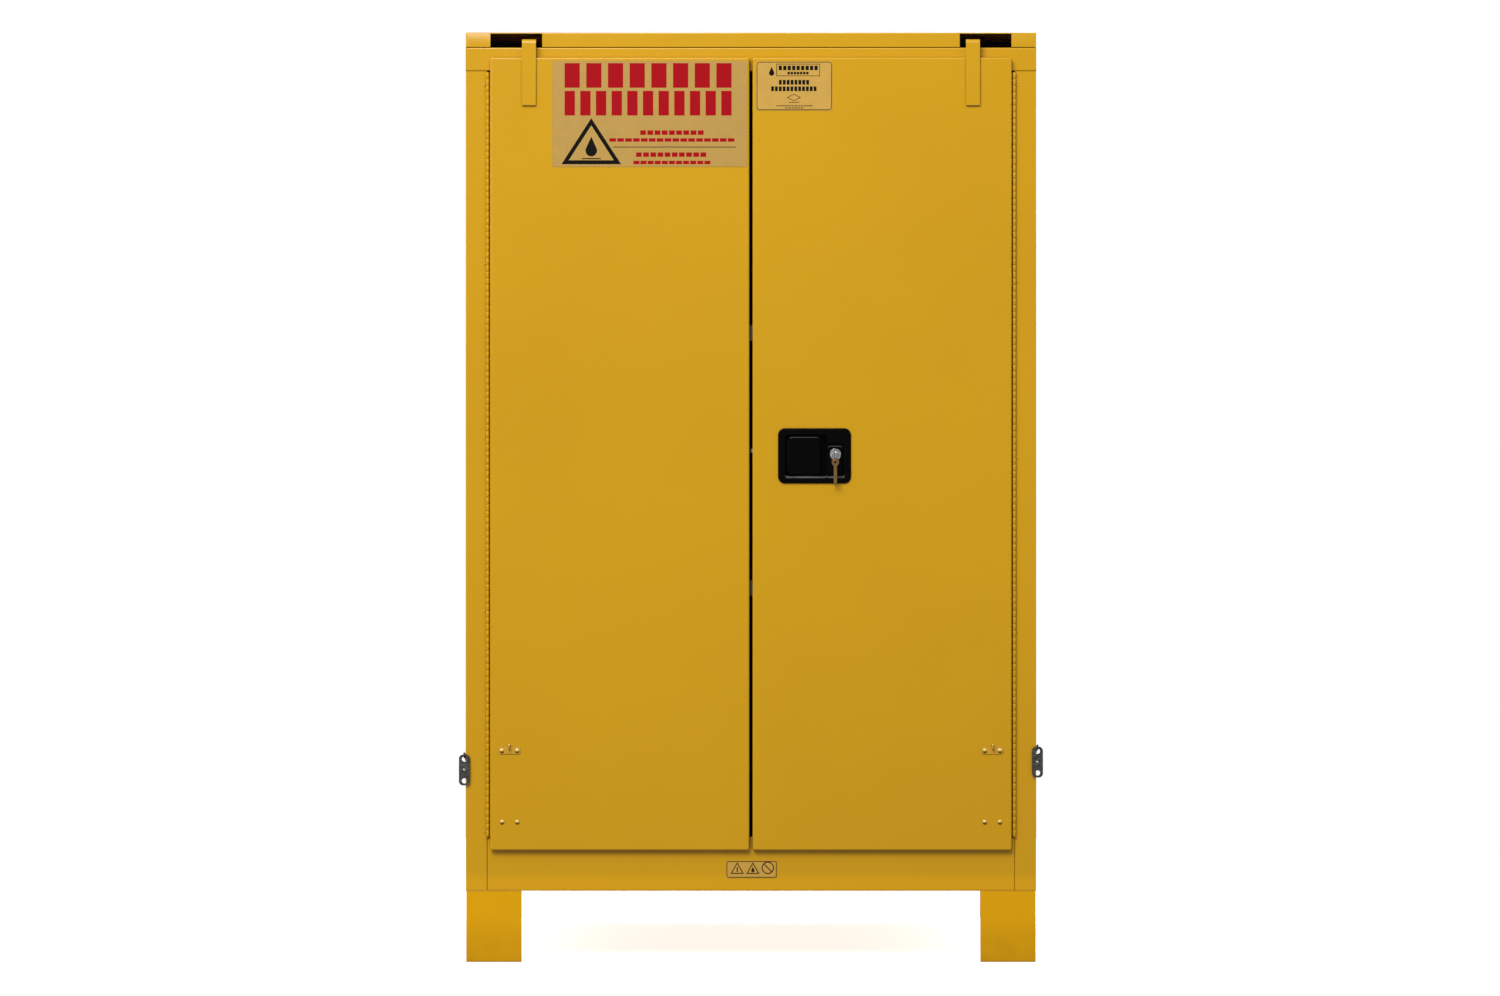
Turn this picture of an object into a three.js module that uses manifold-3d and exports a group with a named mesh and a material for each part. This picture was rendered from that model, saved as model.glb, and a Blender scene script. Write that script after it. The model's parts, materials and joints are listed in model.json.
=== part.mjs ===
// Flammable storage cabinet: two self-closing double-wall doors on a double-wall body.
// It stands on four corner legs.
// Millimetres, +Z up, floor at z = 0, doors facing -Y, cabinet centred on X = 0.
import * as THREE from 'three';
import { mergeVertices } from 'three/addons/utils/BufferGeometryUtils.js';
import Module from 'manifold-3d';

const wasm = await Module();
wasm.setup();

// ---------------------------------------------------------------- overall sizes
const BODY_WIDTH = 1092; // 43 in
const BODY_DEPTH = 851; // frame face to back; the doors add 13 mm, which makes 34 in
const LEG_HEIGHT = 136;
const CAP_TOP = 1779;
const FRONT_REACH = 51; // from the frame's front face to the tip of the key
const FRONT = -(BODY_DEPTH + FRONT_REACH) / 2 + FRONT_REACH; // Y of the frame's front face
const BACK = FRONT + BODY_DEPTH;
const HALF = BODY_WIDTH / 2;
const SHEET = 1.5; // body sheet steel
const FOLD = 2.5; // outer radius of a folded edge
const BEND = 2; // radius of a bend along the middle of the sheet
const GAP = 0.3; // clearance between neighbouring parts
const PASS = 1; // how far a cutter reaches past the solid it cuts
const WALL_AIR = 36; // air space between the outer and inner walls

// front frame
const STILE_INNER = 504.5;
const RETURN_DEPTH = 30;
const HEAD_FLANGE = 3.2; // depth of the head rail's upper flange
const BODY_BOTTOM = LEG_HEIGHT + SHEET + GAP;
const OPENING_BOTTOM = 239;
const OPENING_TOP = 1705;
const HEAD_TOP = 1750;
const CAP_BOTTOM = 1751;

// inner walls
const LINER_X = HALF - WALL_AIR - 2;
const LINER_BACK = BACK - WALL_AIR - 2;
const LINER_BOTTOM = 192;
const SUMP_FLOOR = 189;
const SUMP_TOP = 236;

// doors
const DOOR_EDGE = 498; // hinge-side edge of the door, from the centre line
const DOOR_FREE = 3; // free edge, from the centre line
const DOOR_BOTTOM = 215;
const DOOR_TOP = 1729.5;
const DOOR_FACE = 13; // door face in front of the frame
const DOOR_SKIN = 1.2;
const DOOR_FOLD = 3; // outer radius of the door's folded edges
const DOOR_CORNER = 3.5; // radius of the door's corners seen from the front
const SKIN_BACK = 1; // rear rim of the outer skin in front of the frame
const PAN_BACK = 25; // inner pan behind the frame's front face
const PAN = { left: 20, right: 490, bottom: 250, top: 1694 };
const PAN_FLANGE = { front: 2.7, back: 1.2, inset: 1.6, corner: 2.5 };

// hinge
const HINGE_X = 503.6;
const HINGE_OUT = 3.5; // hinge axis in front of the frame
const BARREL_RADIUS = 3;
const PIN_RADIUS = 1.2;
const KNUCKLE_BORE = 1.32;
const KNUCKLES = 15;
const KNUCKLE_GAP = 0.5;
const HINGE_LEAF = { frame: 1.4, door: 1.3 }; // thickness of the leaves and of their webs
const HINGE_BOTTOM = 240;
const HINGE_TOP = 1702;

// closer
const CLOSER_X = HINGE_X + 10;
const CLOSER_Y = FRONT - HINGE_OUT + 15;
const CLOSER_FOOT = { half: 18, front: 9, rear: 17, bottom: 1706.8, top: 1709.8 };
const CLOSER_POST = { radius: 5, bottom: 1709, top: 1772 };
const CLOSER_COLLAR = { radius: 8, top: 1712 };
const CLOSER_SPRING = { radius: 8, bore: 5.8, bottom: 1712.5, top: 1754 };
const CLOSER_HUB = { radius: 8, bottom: 1755, top: 1769 };
const CLOSER_STRAP = 3.2; // thickness of the arm
const CLOSER_STRAP_Z = 1763;
const CLOSER_BAR_Y = CLOSER_Y + 24;
const CLOSER_BAR_HALF = 8; // half the width of the arm
const CLOSER_BEND = 7;
const TAB = { x: 424, width: 26.5, bottom: 1638, stand_off: 1.2 };
const SLOT = { inner: 399.5, outer: 498.5, top: 1776.8 };

// latch
const BEZEL = { left: 51.7, right: 191.1, bottom: 915.9, top: 1021.2, corner: 13, proud: 4, rim: 2.5 };
const TUB = { left: 58, right: 185, bottom: 921, top: 1016, corner: 6, back: -11, opening: 0.5 };
const PADDLE_AXIS = { x: 70, out: 8, radius: 2.5, bottom: 923, top: 1013 };
const PADDLE = { left: 72, right: 132, bottom: 932, top: 1004.5, thickness: 3.5, corner: 7, rounding: 2.2 };
const PADDLE_LIP = { width: 2.5, depth: 5, inset: 8 }; // the finger lip behind the free edge
const PADDLE_TAIL = { half: 1.5, depth: 12, bottom: 958, top: 978 };
const WELL = { left: 64, right: 147, bottom: 926, top: 1010, corner: 6, slope: 3.5, floor: 3 };
const LOCK_WELL = { left: 144, right: 180, bottom: 926, top: 994, corner: 5, floor: 6 };
const LOCK_BOSS = { left: 145.5, right: 176, bottom: 933, top: 987.5, corner: 7, rounding: 2, sunk: 1.5 };
const LOCK = { x: 161.3, z: 971.7, radius: 10.5, plug: 6.2, out: 18.5, back: 17 };
const CAM = { half: 4, front: 17.3, back: 20, down: 18, up: 5 };
const KEY = { half: 1, reach: 35, shank: 3.5, bow: 9.5, hole: 2.6 };
const KEY_RING = { radius: 9, wire: 0.8, out: 26.5, turn: 25 };
const SPARE_KEY = { bow: 7.5, blade: 3.2, neck: -16, tip: -45.5, hole: 2.4, turn: -24 };
const SPARE_KEY_MOUTH = 0.35 * Math.PI; // where the blade leaves the bow
const BOLT = { z: 978, height: 8, tip: -1, tail: 50, front: 9.5, back: 3.5 };
const STRIKE = { front: 10.5, back: 3, bottom: 955, top: 1001, slotBottom: 972, slotTop: 984 };
const ROD = { x: 30, back: 8, radius: 3, footEnd: 54, footHalf: { depth: 2, height: 4 } };
const ROD_SPAN = { upper: [1030, OPENING_TOP - 1.5], lower: [OPENING_BOTTOM + 1.5, 905] };
const ROD_FOOT_Z = { upper: 1034, lower: 901 };

// door hardware
const RIVET_X = [446.6, 475.5];
const RIVET_Z = { bracket: 405, strap: 268.7 };
const RIVET_HEAD = { radius: 4.5, height: 2.6 };
const RIVET_SHANK = 2;
const BRACKET = { left: 440, right: 482, bottom: 399, top: 411.5, corner: 4, front: 1.5, rear: 0.2 };
const LUG = { left: 460.7, right: 462.5, reach: 10, bottom: 407, top: 418, corner: 3 };
const LUG_EYE = { out: 6, z: 413, radius: 2.4 };
const STRAP = { front: 1.5, rear: 3.5, half: 6 }; // depths behind the door's face
const RIVET_TAIL = { radius: 3.5, front: 1.5, rear: 3 };

// fusible link
const LINK = { x: 548, width: 21, length: 59, corner: 8, hole: 5, pitch: 41.5, thickness: 1.2, out: 3 };
const LINK_OVERLAP = 14; // how far each half of the link reaches past its middle
const LINK_HOLE_Z = { left: 388.6, right: 403.7 };
const HOOK_WIRE = 1.5;
const HOOK_PLATE = { thickness: 1.5, front: 8, rear: 28, half: 7 };

// printed labels: each stands a little off the metal
const LABEL = { thickness: 0.4, lift: 0.2 };
const WARNING_LABEL = { left: -379.5, right: -7, bottom: 1520.7, top: 1723.3, corner: 2 };
const NOTICE_LABEL = { left: 10, right: 155.4, bottom: 1628.2, top: 1722.2, corner: 5 };
const PICTOGRAM_LABEL = { left: -47.3, right: 49.8, bottom: 160.9, top: 193.7, corner: 4 };

// legs: the face is the plate seen from the front or the back
const LEG = { width: { front: 106, rear: 60 }, depth: 106, plate: 2.5 };

// shelves and side fittings
const SHELF_Z = [700, 1190];
const SHELF = { play: 3, front: FRONT + 45, back: 400, height: 30, sheet: 1.2 };
const RACK_Y = [FRONT + 95, 345];
const RACK = { half: 15, sheet: 2, ledge: 16, web: 20, top: 1690 };
const VENT = { y: 230, z: { left: 300, right: 1590 }, radius: 29.5, wall: 3, flange: 8, screen: 4 };
const VENT_CAP = { rim: 5, depth: 6, dish: 3, barHalf: 5, barReach: 9 };
const GROUND = { y: 385, z: 185, washer: 9, head: 7, stud: 3 };
const GROUND_STEPS = [0, 1.6, 6.5, 10]; // from the wall: washer, head, stud

// ---------------------------------------------------------------- finishes
const FINISHES = {
  yellow: { color: 0xce9c1d, roughness: 0.38, metalness: 0.1 },
  leg_yellow: { color: 0xd09908, roughness: 0.4, metalness: 0.1 },
  liner: { color: 0xc8971f, roughness: 0.5, metalness: 0.1 },
  galvanised: { color: 0xa7abac, roughness: 0.42, metalness: 0.85 },
  steel: { color: 0x8f918f, roughness: 0.35, metalness: 0.9 },
  dark_steel: { color: 0x4a4a48, roughness: 0.5, metalness: 0.8 },
  black: { color: 0x0d0e0c, roughness: 0.35, metalness: 0.0 },
  chrome: { color: 0xc9cdce, roughness: 0.12, metalness: 1.0 },
  brass: { color: 0x8a6a3c, roughness: 0.35, metalness: 0.9 },
  label: { color: 0xc49b50, roughness: 0.55, metalness: 0.0 },
};

// ---------------------------------------------------------------- helpers
/** Turns a three.js geometry into a manifold solid. */
function toSolid(geometry) {
  geometry.deleteAttribute('normal');
  geometry.deleteAttribute('uv');
  const merged = mergeVertices(geometry, 1e-4);
  return new wasm.Manifold(
    new wasm.Mesh({
      numProp: 3,
      vertProperties: new Float32Array(merged.attributes.position.array),
      triVerts: new Uint32Array(merged.index.array),
    }),
  );
}

/** Wraps a solid as a named mesh with one of the finishes. */
function part(name, finish, solid) {
  const mesh = solid.getMesh();
  const geometry = new THREE.BufferGeometry();
  geometry.setAttribute('position', new THREE.BufferAttribute(mesh.vertProperties, 3));
  geometry.setIndex(new THREE.BufferAttribute(mesh.triVerts, 1));
  geometry.computeVertexNormals();
  const result = new THREE.Mesh(geometry, new THREE.MeshStandardMaterial(FINISHES[finish]));
  result.name = name;
  return result;
}

function union(solids) {
  return solids.reduce((all, next) => all.add(next));
}

function cut(solid, cutters) {
  return cutters.reduce((all, next) => all.subtract(next), solid);
}

/** A box from one corner to the other: [low, high] along each axis. */
function box([x0, x1], [y0, y1], [z0, z1]) {
  const geometry = new THREE.BoxGeometry(x1 - x0, y1 - y0, z1 - z0);
  geometry.translate((x0 + x1) / 2, (y0 + y1) / 2, (z0 + z1) / 2);
  return toSolid(geometry);
}

/** A tray with the given wall thickness, open at the top. */
function tray([x0, x1], [y0, y1], [z0, z1], wall) {
  const pocket = box([x0 + wall, x1 - wall], [y0 + wall, y1 - wall], [z0 + wall, z1 + wall]);
  return box([x0, x1], [y0, y1], [z0, z1]).subtract(pocket);
}

/**
 * Extrudes a shape along an axis. The shape lies in (X, Y) for z, in (X, Z) for y and in (Y, Z) for x.
 * A rounding radius rounds the rims at both ends.
 */
function extrude(shape, axis, [from, to], curveSegments = 3, rounding = 0) {
  const geometry = new THREE.ExtrudeGeometry(shape, {
    depth: to - from - 2 * rounding,
    bevelEnabled: rounding > 0,
    bevelThickness: rounding,
    bevelSize: rounding,
    bevelOffset: -rounding,
    bevelSegments: 3,
    curveSegments,
  });
  geometry.translate(0, 0, rounding);
  if (axis === 'x') {
    geometry.applyMatrix4(new THREE.Matrix4().set(0, 0, 1, from, 1, 0, 0, 0, 0, 1, 0, 0, 0, 0, 0, 1));
  } else if (axis === 'y') {
    geometry.applyMatrix4(new THREE.Matrix4().set(1, 0, 0, 0, 0, 0, -1, to, 0, 1, 0, 0, 0, 0, 0, 1));
  } else {
    geometry.translate(0, 0, from);
  }
  return toSolid(geometry);
}

/** A plate facing forward whose front rim is rounded. */
function roundedFront(shape, [front, back], radius, curveSegments = 2) {
  const long = extrude(shape, 'y', [front, back + 2 * radius], curveSegments, radius);
  return long.trimByPlane([0, -1, 0], -back);
}

/** A cylinder along an axis; centre is given in the two other axes, in X, Y, Z order. */
function cylinder(axis, [u, v], radius, [from, to], sides = 24) {
  const geometry = new THREE.CylinderGeometry(radius, radius, to - from, sides);
  const middle = (from + to) / 2;
  if (axis === 'x') {
    geometry.rotateZ(Math.PI / 2);
    geometry.translate(middle, u, v);
  } else if (axis === 'y') {
    geometry.translate(u, middle, v);
  } else {
    geometry.rotateX(Math.PI / 2);
    geometry.translate(u, v, middle);
  }
  return toSolid(geometry);
}

function polygon(points) {
  return new THREE.Shape(points.map(([u, v]) => new THREE.Vector2(u, v)));
}

function roundedRectangle([u0, u1], [v0, v1], radius) {
  const shape = new THREE.Shape();
  const quarter = Math.PI / 2;
  shape.absarc(u1 - radius, v0 + radius, radius, -quarter, 0);
  shape.absarc(u1 - radius, v1 - radius, radius, 0, quarter);
  shape.absarc(u0 + radius, v1 - radius, radius, quarter, 2 * quarter);
  shape.absarc(u0 + radius, v0 + radius, radius, 2 * quarter, 3 * quarter);
  return shape;
}

function rectangleOf({ left, right, bottom, top, corner }) {
  return roundedRectangle([left, right], [bottom, top], corner);
}

/** Replaces each inner corner of a line by a short arc. */
function roundCorners(points, radius, steps = 3) {
  const vectors = points.map(([u, v]) => new THREE.Vector2(u, v));
  const line = [vectors[0]];
  for (let i = 1; i < vectors.length - 1; i += 1) {
    const corner = vectors[i];
    const before = vectors[i - 1].clone().sub(corner).normalize().multiplyScalar(radius);
    const after = vectors[i + 1].clone().sub(corner).normalize().multiplyScalar(radius);
    const start = corner.clone().add(before);
    const end = corner.clone().add(after);
    line.push(...new THREE.QuadraticBezierCurve(start, corner, end).getPoints(steps));
  }
  line.push(vectors[vectors.length - 1]);
  return line;
}

/** The outline of a folded sheet that follows a line of points with rounded bends. */
function foldedSheet(points, thickness, radius = 3) {
  const line = roundCorners(points, radius);
  const offsets = line.map((point, i) => {
    const previous = line[Math.max(i - 1, 0)];
    const next = line[Math.min(i + 1, line.length - 1)];
    const into = point.clone().sub(previous).normalize();
    const out = next.clone().sub(point).normalize();
    const along = i === 0 ? out : i === line.length - 1 ? into : into.clone().add(out).normalize();
    const spread = i === 0 || i === line.length - 1 ? 1 : along.dot(out);
    return new THREE.Vector2(-along.y, along.x).multiplyScalar(thickness / 2 / spread);
  });
  const left = line.map((point, i) => point.clone().add(offsets[i]));
  const right = line.map((point, i) => point.clone().sub(offsets[i]));
  return new THREE.Shape([...left, ...right.reverse()]);
}

/** A round bar that follows a curve. */
function roundBar(points, radius, steps, curveSegments = 4) {
  const circle = new THREE.Shape();
  circle.absarc(0, 0, radius, 0, 2 * Math.PI);
  const curve = new THREE.CatmullRomCurve3(points.map((p) => new THREE.Vector3(...p)), false, 'centripetal');
  const geometry = new THREE.ExtrudeGeometry(circle, {
    extrudePath: curve,
    steps,
    curveSegments,
  });
  return toSolid(geometry);
}

/** Turns a profile of [radius, height] points around Z. The profile starts and ends on the axis. */
function lathe(profile, sides = 24) {
  const geometry = new THREE.LatheGeometry(profile.map(([r, h]) => new THREE.Vector2(r, h)), sides);
  geometry.rotateX(Math.PI / 2);
  return toSolid(geometry);
}

/** Builds on the right-hand side and mirrors for the left. */
function onSide(side, solid) {
  return side === 'left' ? solid.mirror([1, 0, 0]) : solid;
}

const ahead = (distance) => FRONT - distance; // Y of a point in front of the frame
const behind = (distance) => FRONT + distance; // Y of a point behind the frame's face

// ---------------------------------------------------------------- body
/** The cutter for a vent's hole in a side wall. */
function ventHole(side, span) {
  return cylinder('x', [VENT.y, VENT.z[side]], VENT.radius + 0.5, span, 32);
}

function sidePanel(side) {
  const mid = SHEET / 2;
  const plan = foldedSheet(
    [
      [HALF - mid, BACK - SHEET - GAP],
      [HALF - mid, behind(mid)],
      [STILE_INNER + mid, behind(mid)],
      [STILE_INNER + mid, behind(RETURN_DEPTH)],
    ],
    SHEET,
    BEND,
  );
  const folded = extrude(plan, 'z', [BODY_BOTTOM, OPENING_TOP - GAP]);
  const above = box(
    [HALF - SHEET, HALF],
    [behind(SHEET + GAP), BACK - SHEET - GAP],
    [OPENING_TOP - PASS, HEAD_TOP],
  );
  const vent = ventHole(side, [HALF - SHEET - PASS, HALF + PASS]);
  return part(`side_panel_${side}`, 'yellow', onSide(side, folded.add(above).subtract(vent)));
}

function backPanel() {
  return part('back_panel', 'yellow', box([-HALF, HALF], [BACK - SHEET, BACK], [BODY_BOTTOM, HEAD_TOP]));
}

function bottomPanel() {
  return part('bottom_panel', 'yellow', box([-HALF, HALF], [FRONT, BACK], [LEG_HEIGHT, LEG_HEIGHT + SHEET]));
}

function topCap() {
  const plan = roundedRectangle([-HALF, HALF], [FRONT, BACK], FOLD + 0.5);
  const block = extrude(plan, 'z', [CAP_BOTTOM - 2 * FOLD, CAP_TOP], 2, FOLD);
  const outer = block.trimByPlane([0, 0, 1], CAP_BOTTOM);
  const pocket = box(
    [-HALF + SHEET, HALF - SHEET],
    [FRONT + SHEET, BACK - SHEET],
    [CAP_BOTTOM - PASS, CAP_TOP - SHEET],
  );
  const slots = [[-SLOT.outer, -SLOT.inner], [SLOT.inner, SLOT.outer]].map((span) =>
    box(span, [ahead(PASS), behind(SHEET + PASS)], [CAP_BOTTOM - PASS, SLOT.top]),
  );
  return part('top_cap', 'yellow', cut(outer, [pocket, ...slots]));
}

function headRail() {
  const mid = SHEET / 2;
  const inner = HALF - SHEET - GAP;
  const section = foldedSheet(
    [
      [behind(HEAD_FLANGE), HEAD_TOP - mid],
      [behind(mid), HEAD_TOP - mid],
      [behind(mid), OPENING_TOP + mid],
      [behind(RETURN_DEPTH + 4), OPENING_TOP + mid],
    ],
    SHEET,
    BEND,
  );
  const channel = extrude(section, 'x', [-inner, inner]);
  const ends = [[-HALF, -inner + 1], [inner - 1, HALF]].map((span) =>
    box(span, [FRONT, behind(SHEET)], [OPENING_TOP + 3, HEAD_TOP - FOLD]),
  );
  return part('head_rail', 'yellow', union([channel, ...ends]));
}

function bottomRail() {
  const mid = SHEET / 2;
  const end = STILE_INNER - GAP;
  const section = foldedSheet(
    [
      [behind(mid), BODY_BOTTOM],
      [behind(mid), OPENING_BOTTOM - mid],
      [behind(RETURN_DEPTH), OPENING_BOTTOM - mid],
    ],
    SHEET,
    BEND,
  );
  return part('bottom_rail', 'yellow', extrude(section, 'x', [-end, end]));
}

function linerSide(side) {
  const sheet = box(
    [LINER_X, LINER_X + SHEET],
    [behind(RETURN_DEPTH + 0.5), LINER_BACK - GAP],
    [LINER_BOTTOM, OPENING_TOP],
  );
  const vent = ventHole(side, [LINER_X - PASS, LINER_X + SHEET + PASS]);
  return part(`liner_${side}`, 'liner', onSide(side, sheet.subtract(vent)));
}

function linerBack() {
  const reach = LINER_X + SHEET;
  const sheet = box([-reach, reach], [LINER_BACK, LINER_BACK + SHEET], [LINER_BOTTOM, OPENING_TOP]);
  return part('liner_back', 'liner', sheet);
}

function linerTop() {
  const reach = LINER_X + SHEET;
  const bottom = OPENING_TOP + GAP;
  const depth = [behind(RETURN_DEPTH + 5), LINER_BACK + SHEET];
  const sheet = box([-reach, reach], depth, [bottom, bottom + SHEET]);
  return part('liner_top', 'liner', sheet);
}

function sumpTray() {
  const reach = STILE_INNER - 0.7;
  const shell = tray([-reach, reach], [behind(2), LINER_BACK - GAP], [SUMP_FLOOR, SUMP_TOP], SHEET);
  return part('sump_tray', 'liner', shell);
}

/** A corner leg: an upright angle closed by a triangular plate at each end. */
function leg(side, end) {
  const { depth, plate } = LEG;
  const width = LEG.width[end];
  const outer = HALF - 1;
  const near = end === 'front' ? FRONT : BACK;
  const inward = end === 'front' ? 1 : -1;
  const top = LEG_HEIGHT - GAP;
  const spanY = (a, b) => [near + inward * a, near + inward * b].sort((p, q) => p - q);
  const face = box([outer - width, outer], spanY(0, plate), [0, top]);
  const flank = box([outer - plate, outer], spanY(0, depth), [0, top]);
  const corners = [
    [outer - width, near],
    [outer, near],
    [outer, near + inward * depth],
  ];
  const gusset = polygon(corners);
  const ends = [[0, plate], [top - plate, top]].map((span) => extrude(gusset, 'z', span));
  return part(`leg_${end}_${side}`, 'leg_yellow', onSide(side, union([face, flank, ...ends])));
}

// ---------------------------------------------------------------- inside
/** Two uprights joined by the ledges that carry the shelves. */
function shelfRack(side) {
  const outer = LINER_X - GAP;
  const { half, sheet, ledge, web, top } = RACK;
  const uprights = RACK_Y.map((y) =>
    box([outer - sheet, outer], [y - half, y + half], [OPENING_BOTTOM + 1, top]),
  );
  const span = [RACK_Y[0] - half, RACK_Y[1] + half];
  const ledges = SHELF_Z.flatMap((z) => [
    box([outer - ledge, outer], span, [z - sheet - GAP, z - GAP]),
    box([outer - sheet, outer], span, [z - web, z - GAP]),
  ]);
  return part(`shelf_rack_${side}`, 'galvanised', onSide(side, union([...uprights, ...ledges])));
}

function shelf(name, z) {
  const x = LINER_X - GAP - SHELF.play;
  const shell = tray([-x, x], [SHELF.front, SHELF.back], [z, z + SHELF.height], SHELF.sheet);
  return part(name, 'galvanised', shell);
}

/** The tube and flame screen that cross the side wall behind a vent cap. */
function flameArrestor(side) {
  const outerEnd = HALF;
  const innerEnd = LINER_X - 2.5;
  const screen = [innerEnd + 2, innerEnd + 2 + VENT.screen];
  const at = [VENT.y, VENT.z[side]];
  const tube = cylinder('x', at, VENT.radius, [innerEnd, outerEnd], 32);
  const flange = cylinder('x', at, VENT.radius + VENT.flange, [innerEnd, LINER_X - GAP], 32);
  const pockets = [[innerEnd - PASS, screen[0]], [screen[1], outerEnd + PASS]].map((span) =>
    cylinder('x', at, VENT.radius - VENT.wall, span, 32),
  );
  return part(`flame_arrestor_${side}`, 'steel', onSide(side, cut(tube.add(flange), pockets)));
}

/** The bung that closes a vent, with a cross bar to turn it by. */
function ventCap(side) {
  const start = HALF + GAP;
  const at = [VENT.y, VENT.z[side]];
  const { rim: lip, depth, dish: floor, barHalf, barReach } = VENT_CAP;
  const rim = cylinder('x', at, VENT.radius + lip, [start, start + depth], 32);
  const dish = cylinder('x', at, VENT.radius - lip + 1, [start + floor, start + depth + PASS], 32);
  const bar = box(
    [start + floor - PASS, start + barReach],
    [VENT.y - barHalf, VENT.y + barHalf],
    [at[1] - VENT.radius, at[1] + VENT.radius],
  );
  return part(`vent_cap_${side}`, 'yellow', onSide(side, rim.subtract(dish).add(bar)));
}

function groundScrew() {
  const at = [GROUND.y, GROUND.z];
  const [wall, washerTop, headTop, studTop] = GROUND_STEPS.map((step) => HALF + GAP + step);
  const washer = cylinder('x', at, GROUND.washer, [wall, washerTop]);
  const head = cylinder('x', at, GROUND.head, [washerTop, headTop], 6);
  const stud = cylinder('x', at, GROUND.stud, [headTop, studTop], 12);
  return part('ground_screw', 'brass', union([washer, head, stud]));
}

// ---------------------------------------------------------------- hinges
function knuckleSpans(first) {
  const pitch = (HINGE_TOP - HINGE_BOTTOM) / KNUCKLES;
  const spans = [];
  for (let i = first; i < KNUCKLES; i += 2) {
    const low = HINGE_BOTTOM + i * pitch;
    spans.push([low + KNUCKLE_GAP / 2, low + pitch - KNUCKLE_GAP / 2]);
  }
  return spans;
}

/** The plan of a knuckle: a round barrel with a web that leaves it around the given angle. */
function knuckle(webAngle, webEnds, bore) {
  const axisY = ahead(HINGE_OUT);
  const halfWeb = Math.asin(HINGE_LEAF.frame / 2 / BARREL_RADIUS);
  const plan = new THREE.Shape();
  plan.absarc(HINGE_X, axisY, BARREL_RADIUS, webAngle + halfWeb, webAngle - halfWeb + 2 * Math.PI);
  for (const [x, y] of webEnds) {
    plan.lineTo(x, y);
  }
  if (bore) {
    const hole = new THREE.Path();
    hole.absarc(HINGE_X, axisY, KNUCKLE_BORE, 0, 2 * Math.PI);
    plan.holes.push(hole);
  }
  return plan;
}

/** The leaf on the stile, with its knuckles and the pin fixed in them. */
function hingeFrameLeaf(side) {
  const leafX = [HINGE_X - HINGE_LEAF.frame / 2, HINGE_X + HINGE_LEAF.frame / 2];
  const leaf = box(leafX, [ahead(0.2), behind(RETURN_DEPTH - 2)], [HINGE_BOTTOM, HINGE_TOP]);
  const webEnds = [
    [leafX[1], behind(1)],
    [leafX[0], behind(1)],
  ];
  const plan = knuckle(Math.PI / 2, webEnds, false);
  const knuckles = knuckleSpans(0).map((span) => extrude(plan, 'z', span, 8));
  const pinEnds = [HINGE_BOTTOM + 1, HINGE_TOP - 1];
  const pin = cylinder('z', [HINGE_X, ahead(HINGE_OUT)], PIN_RADIUS, pinEnds, 12);
  return part(`hinge_frame_leaf_${side}`, 'yellow', onSide(side, union([leaf, ...knuckles, pin])));
}

/** The leaf on the door's edge, with tubular knuckles that turn on the pin. */
function hingeDoorLeaf(side) {
  const axisY = ahead(HINGE_OUT);
  const plateX = [DOOR_EDGE + GAP, DOOR_EDGE + GAP + HINGE_LEAF.door];
  const plate = box(plateX, [ahead(DOOR_FACE - 1), ahead(SKIN_BACK)], [HINGE_BOTTOM, HINGE_TOP]);
  const webStart = (plateX[0] + plateX[1]) / 2;
  const webEnds = [
    [webStart, axisY + HINGE_LEAF.frame / 2],
    [webStart, axisY - HINGE_LEAF.frame / 2],
  ];
  const plan = knuckle(Math.PI, webEnds, true);
  const knuckles = knuckleSpans(1).map((span) => extrude(plan, 'z', span, 8));
  return part(`hinge_door_leaf_${side}`, 'yellow', onSide(side, union([plate, ...knuckles])));
}

// ---------------------------------------------------------------- doors
function rivetHoles(radius) {
  const through = [ahead(DOOR_FACE + PASS), ahead(DOOR_FACE - 2 * DOOR_SKIN)];
  return RIVET_X.flatMap((x) =>
    Object.values(RIVET_Z).map((z) => cylinder('y', [x, z], radius, through, 16)),
  );
}

/** The outer half of a door: a shallow tray open towards the cabinet. */
function doorSkin(side) {
  const face = roundedRectangle([DOOR_FREE, DOOR_EDGE], [DOOR_BOTTOM, DOOR_TOP], DOOR_CORNER);
  const outer = roundedFront(face, [ahead(DOOR_FACE), ahead(SKIN_BACK)], DOOR_FOLD, 3);
  const inside = roundedRectangle(
    [DOOR_FREE + DOOR_SKIN, DOOR_EDGE - DOOR_SKIN],
    [DOOR_BOTTOM + DOOR_SKIN, DOOR_TOP - DOOR_SKIN],
    DOOR_CORNER - DOOR_SKIN,
  );
  const depth = [ahead(DOOR_FACE - DOOR_SKIN), behind(PASS)];
  const pocket = roundedFront(inside, depth, DOOR_FOLD - DOOR_SKIN, 3);
  const relief = box(
    [DOOR_FREE - PASS, DOOR_FREE + 1],
    [ahead(DOOR_FACE + PASS), ahead(SKIN_BACK - PASS)],
    [DOOR_BOTTOM - PASS, OPENING_BOTTOM],
  );
  const boltHole = box(
    [DOOR_FREE - PASS, DOOR_FREE + 2 * DOOR_SKIN],
    [ahead(BOLT.front + 2 * GAP), ahead(BOLT.back - 2 * GAP)],
    [BOLT.z - BOLT.height / 2 - 1, BOLT.z + BOLT.height / 2 + 1],
  );
  const cutters = [pocket, relief, boltHole, ...rivetHoles(RIVET_SHANK + GAP)];
  if (side === 'right') {
    const grow = TUB.opening;
    const opening = roundedRectangle(
      [TUB.left - grow, TUB.right + grow],
      [TUB.bottom - grow, TUB.top + grow],
      TUB.corner + grow,
    );
    cutters.push(extrude(opening, 'y', [ahead(DOOR_FACE + PASS), ahead(DOOR_FACE - 2 * DOOR_SKIN)]));
  }
  return part(`door_skin_${side}`, 'yellow', onSide(side, cut(outer, cutters)));
}

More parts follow.
